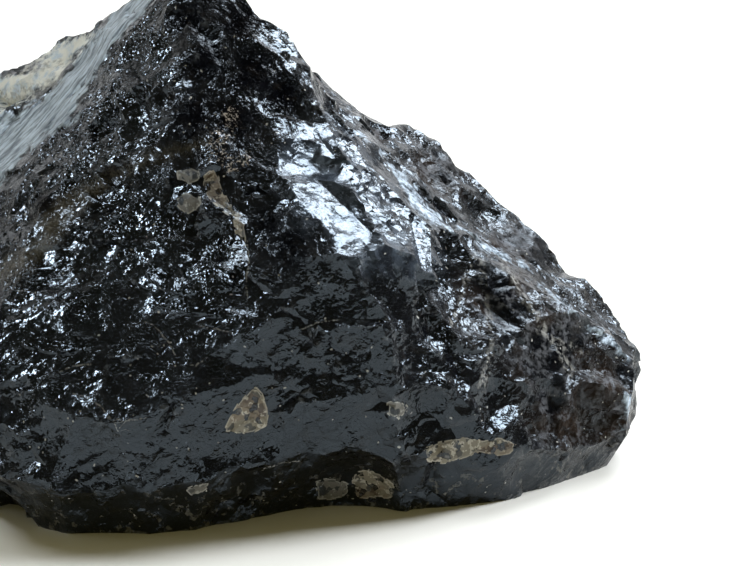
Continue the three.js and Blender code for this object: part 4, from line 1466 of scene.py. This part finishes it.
def morion_material():
    """Near-black glassy quartz with pale marks: bevels with frosting and a painted reflection, veins, chips
    and bruised edges.
    """
    material = bpy.data.materials.new("morion")
    material.use_nodes = True
    tree = material.node_tree
    pattern = stone_patterns(tree)
    share = mark_shares(tree, pattern)
    dull = calculate(tree, "MAXIMUM", times(tree, pattern.shaded, DULLNESS["shaded"]),
                     times(tree, pattern.cells, DULLNESS["cells"]))
    shader = tree.nodes["Principled BSDF"].inputs
    tree.links.new(skin_normal(tree, pattern), shader["Normal"])
    tree.links.new(stone_colour(tree, pattern, share), shader["Base Color"])
    tree.links.new(stone_roughness(tree, pattern, share), shader["Roughness"])
    tree.links.new(ramp(tree, dull, 0.0, 1.0, *MIRROR), shader["Specular IOR Level"])
    shader["IOR"].default_value = QUARTZ_IOR
    shader["Specular Tint"].default_value = GLOSS_TINT
    return material


lump.data.materials.append(morion_material())
print("nodes in the finish:", len(lump.data.materials[0].node_tree.nodes))

# %% [markdown]
# ## The floor and the light
#
# The lump stands on pale paper. The room in front of it is dark, which is what
# makes black glass look black, and yet the paper is bright. One set of lamps
# can't easily do both, so the work is shared out between lights that only the
# gloss shows and lights that it doesn't.

# %% Floor
FLOOR_SIZE = 12.0  # metres
PAPER_COLOUR = (0.90, 0.90, 0.88, 1.0)
PAPER_ROUGHNESS = 0.9


def add_floor():
    """A square of pale paper, with its face upward."""
    half = FLOOR_SIZE / 2
    mesh = bpy.data.meshes.new("floor")
    corners = [(-half, -half, 0), (half, -half, 0), (half, half, 0), (-half, half, 0)]
    mesh.from_pydata(corners, [], [(0, 1, 2, 3)])
    floor = bpy.data.objects.new("floor", mesh)
    bpy.context.collection.objects.link(floor)
    material = bpy.data.materials.new("paper")
    material.use_nodes = True
    shader = material.node_tree.nodes["Principled BSDF"]
    shader.inputs["Base Color"].default_value = PAPER_COLOUR
    shader.inputs["Roughness"].default_value = PAPER_ROUGHNESS
    mesh.materials.append(material)
    return floor


add_floor()
print("floor", FLOOR_SIZE, "metres wide")

# %% [markdown]
# Two windows are seen in the gloss alone, because visible_diffuse is switched
# off. The large one behind and to the right draws the bright field of steps,
# and the small one at the left makes the rough faces glitter.

# %% Windows
LIGHT_AWAY = 4.0  # metres
WINDOW_COLOUR = (0.88, 0.94, 1.0)


def look_out(turn, height):
    """A direction from degrees clockwise from straight behind the lump, and degrees above the floor."""
    turn, height = math.radians(turn), math.radians(height)
    return Vector((math.cos(height) * math.sin(turn), math.cos(height) * math.cos(turn), math.sin(height)))


def add_light(name, kind, way, power, colour):
    """A light that shines onto the lump from a direction. A sun's power is its strength."""
    data = bpy.data.lights.new(name, kind)
    data.energy = power
    data.color = colour
    light = bpy.data.objects.new(name, data)
    light.location = way * LIGHT_AWAY
    light.rotation_euler = (-way).to_track_quat("-Z", "Y").to_euler()
    bpy.context.collection.objects.link(light)
    return light


def add_window(name, turn, height, size, power):
    """A rectangular window that is seen in the gloss and lights nothing else."""
    window = add_light(name, "AREA", look_out(turn, height), power, WINDOW_COLOUR)
    window.data.shape = "RECTANGLE"
    window.data.size, window.data.size_y = size
    window.visible_diffuse = False


add_window("window_right", turn=56, height=58, size=(2.1, 2.2), power=330)
add_window("window_left", turn=-95, height=40, size=(0.75, 0.75), power=95)

# %% [markdown]
# Wide, soft suns light the paper and the pale marks, and throw the shadow. The
# gloss doesn't show them, because visible_glossy is switched off.

# %% Daylight
DAYLIGHT_COLOUR = (0.94, 0.97, 1.0)


def add_daylight(name, turn, height, strength, spread):
    """Even light from far away that falls on the floor and on pale marks, and isn't seen in the gloss."""
    daylight = add_light(name, "SUN", look_out(turn, height), strength, DAYLIGHT_COLOUR)
    daylight.data.angle = math.radians(spread)
    daylight.visible_glossy = False


add_daylight("daylight_low", turn=70, height=25, strength=5.2, spread=14)
add_daylight("daylight_high", turn=40, height=54, strength=2.1, spread=28)
add_daylight("daylight_left", turn=-50, height=36, strength=1.3, spread=20)
print(len(bpy.data.lights), "lights")

# %% [markdown]
# The room round the lump is the world. Gloss sees it dim, with a bright wall
# behind the lump that fades upward and to both sides. Two Light Path switches
# give the paper a dim warm fill instead, and the camera a white background.

# %% Room
ROOM_DIM = (0.085, 0.076, 0.05, 1.0)
ROOM_BRIGHT = (1.3, 1.32, 1.34, 1.0)
ROOM_FILL = (0.16, 0.137, 0.055, 1.0)
BACKGROUND = (1.0, 1.0, 0.99, 1.0)
# The wall: an axis, where it begins and ends to change, and its shares there.
WALL_EDGES = [("Y", 0.2, 0.7, 0.0, 1.0), ("Z", 0.5, 0.8, 1.0, 0.0), ("X", -0.8, -0.35, 0.3, 1.0),
              ("X", 0.3, 0.65, 1.0, 0.25)]


def add_room():
    """A world that is dim in front and bright behind, and that the paper and the camera see evenly."""
    world = bpy.data.worlds.new("room")
    world.use_nodes = True
    bpy.context.scene.world = world
    tree = world.node_tree
    direction = tree.nodes.new("ShaderNodeTexCoord").outputs["Generated"]
    parts = add_node(tree, "ShaderNodeSeparateXYZ", {0: direction}).outputs
    behind = 1.0
    for axis, *edge in WALL_EDGES:
        behind = times(tree, behind, ramp(tree, parts[axis], *edge))
    colour = blend_colour(tree, behind, ROOM_DIM, ROOM_BRIGHT)
    ray = tree.nodes.new("ShaderNodeLightPath").outputs
    colour = blend_colour(tree, ray["Is Diffuse Ray"], colour, ROOM_FILL)
    colour = blend_colour(tree, ray["Is Camera Ray"], colour, BACKGROUND)
    tree.links.new(colour, tree.nodes["Background"].inputs["Color"])


add_room()
bpy.context.scene.view_settings.view_transform = "Standard"
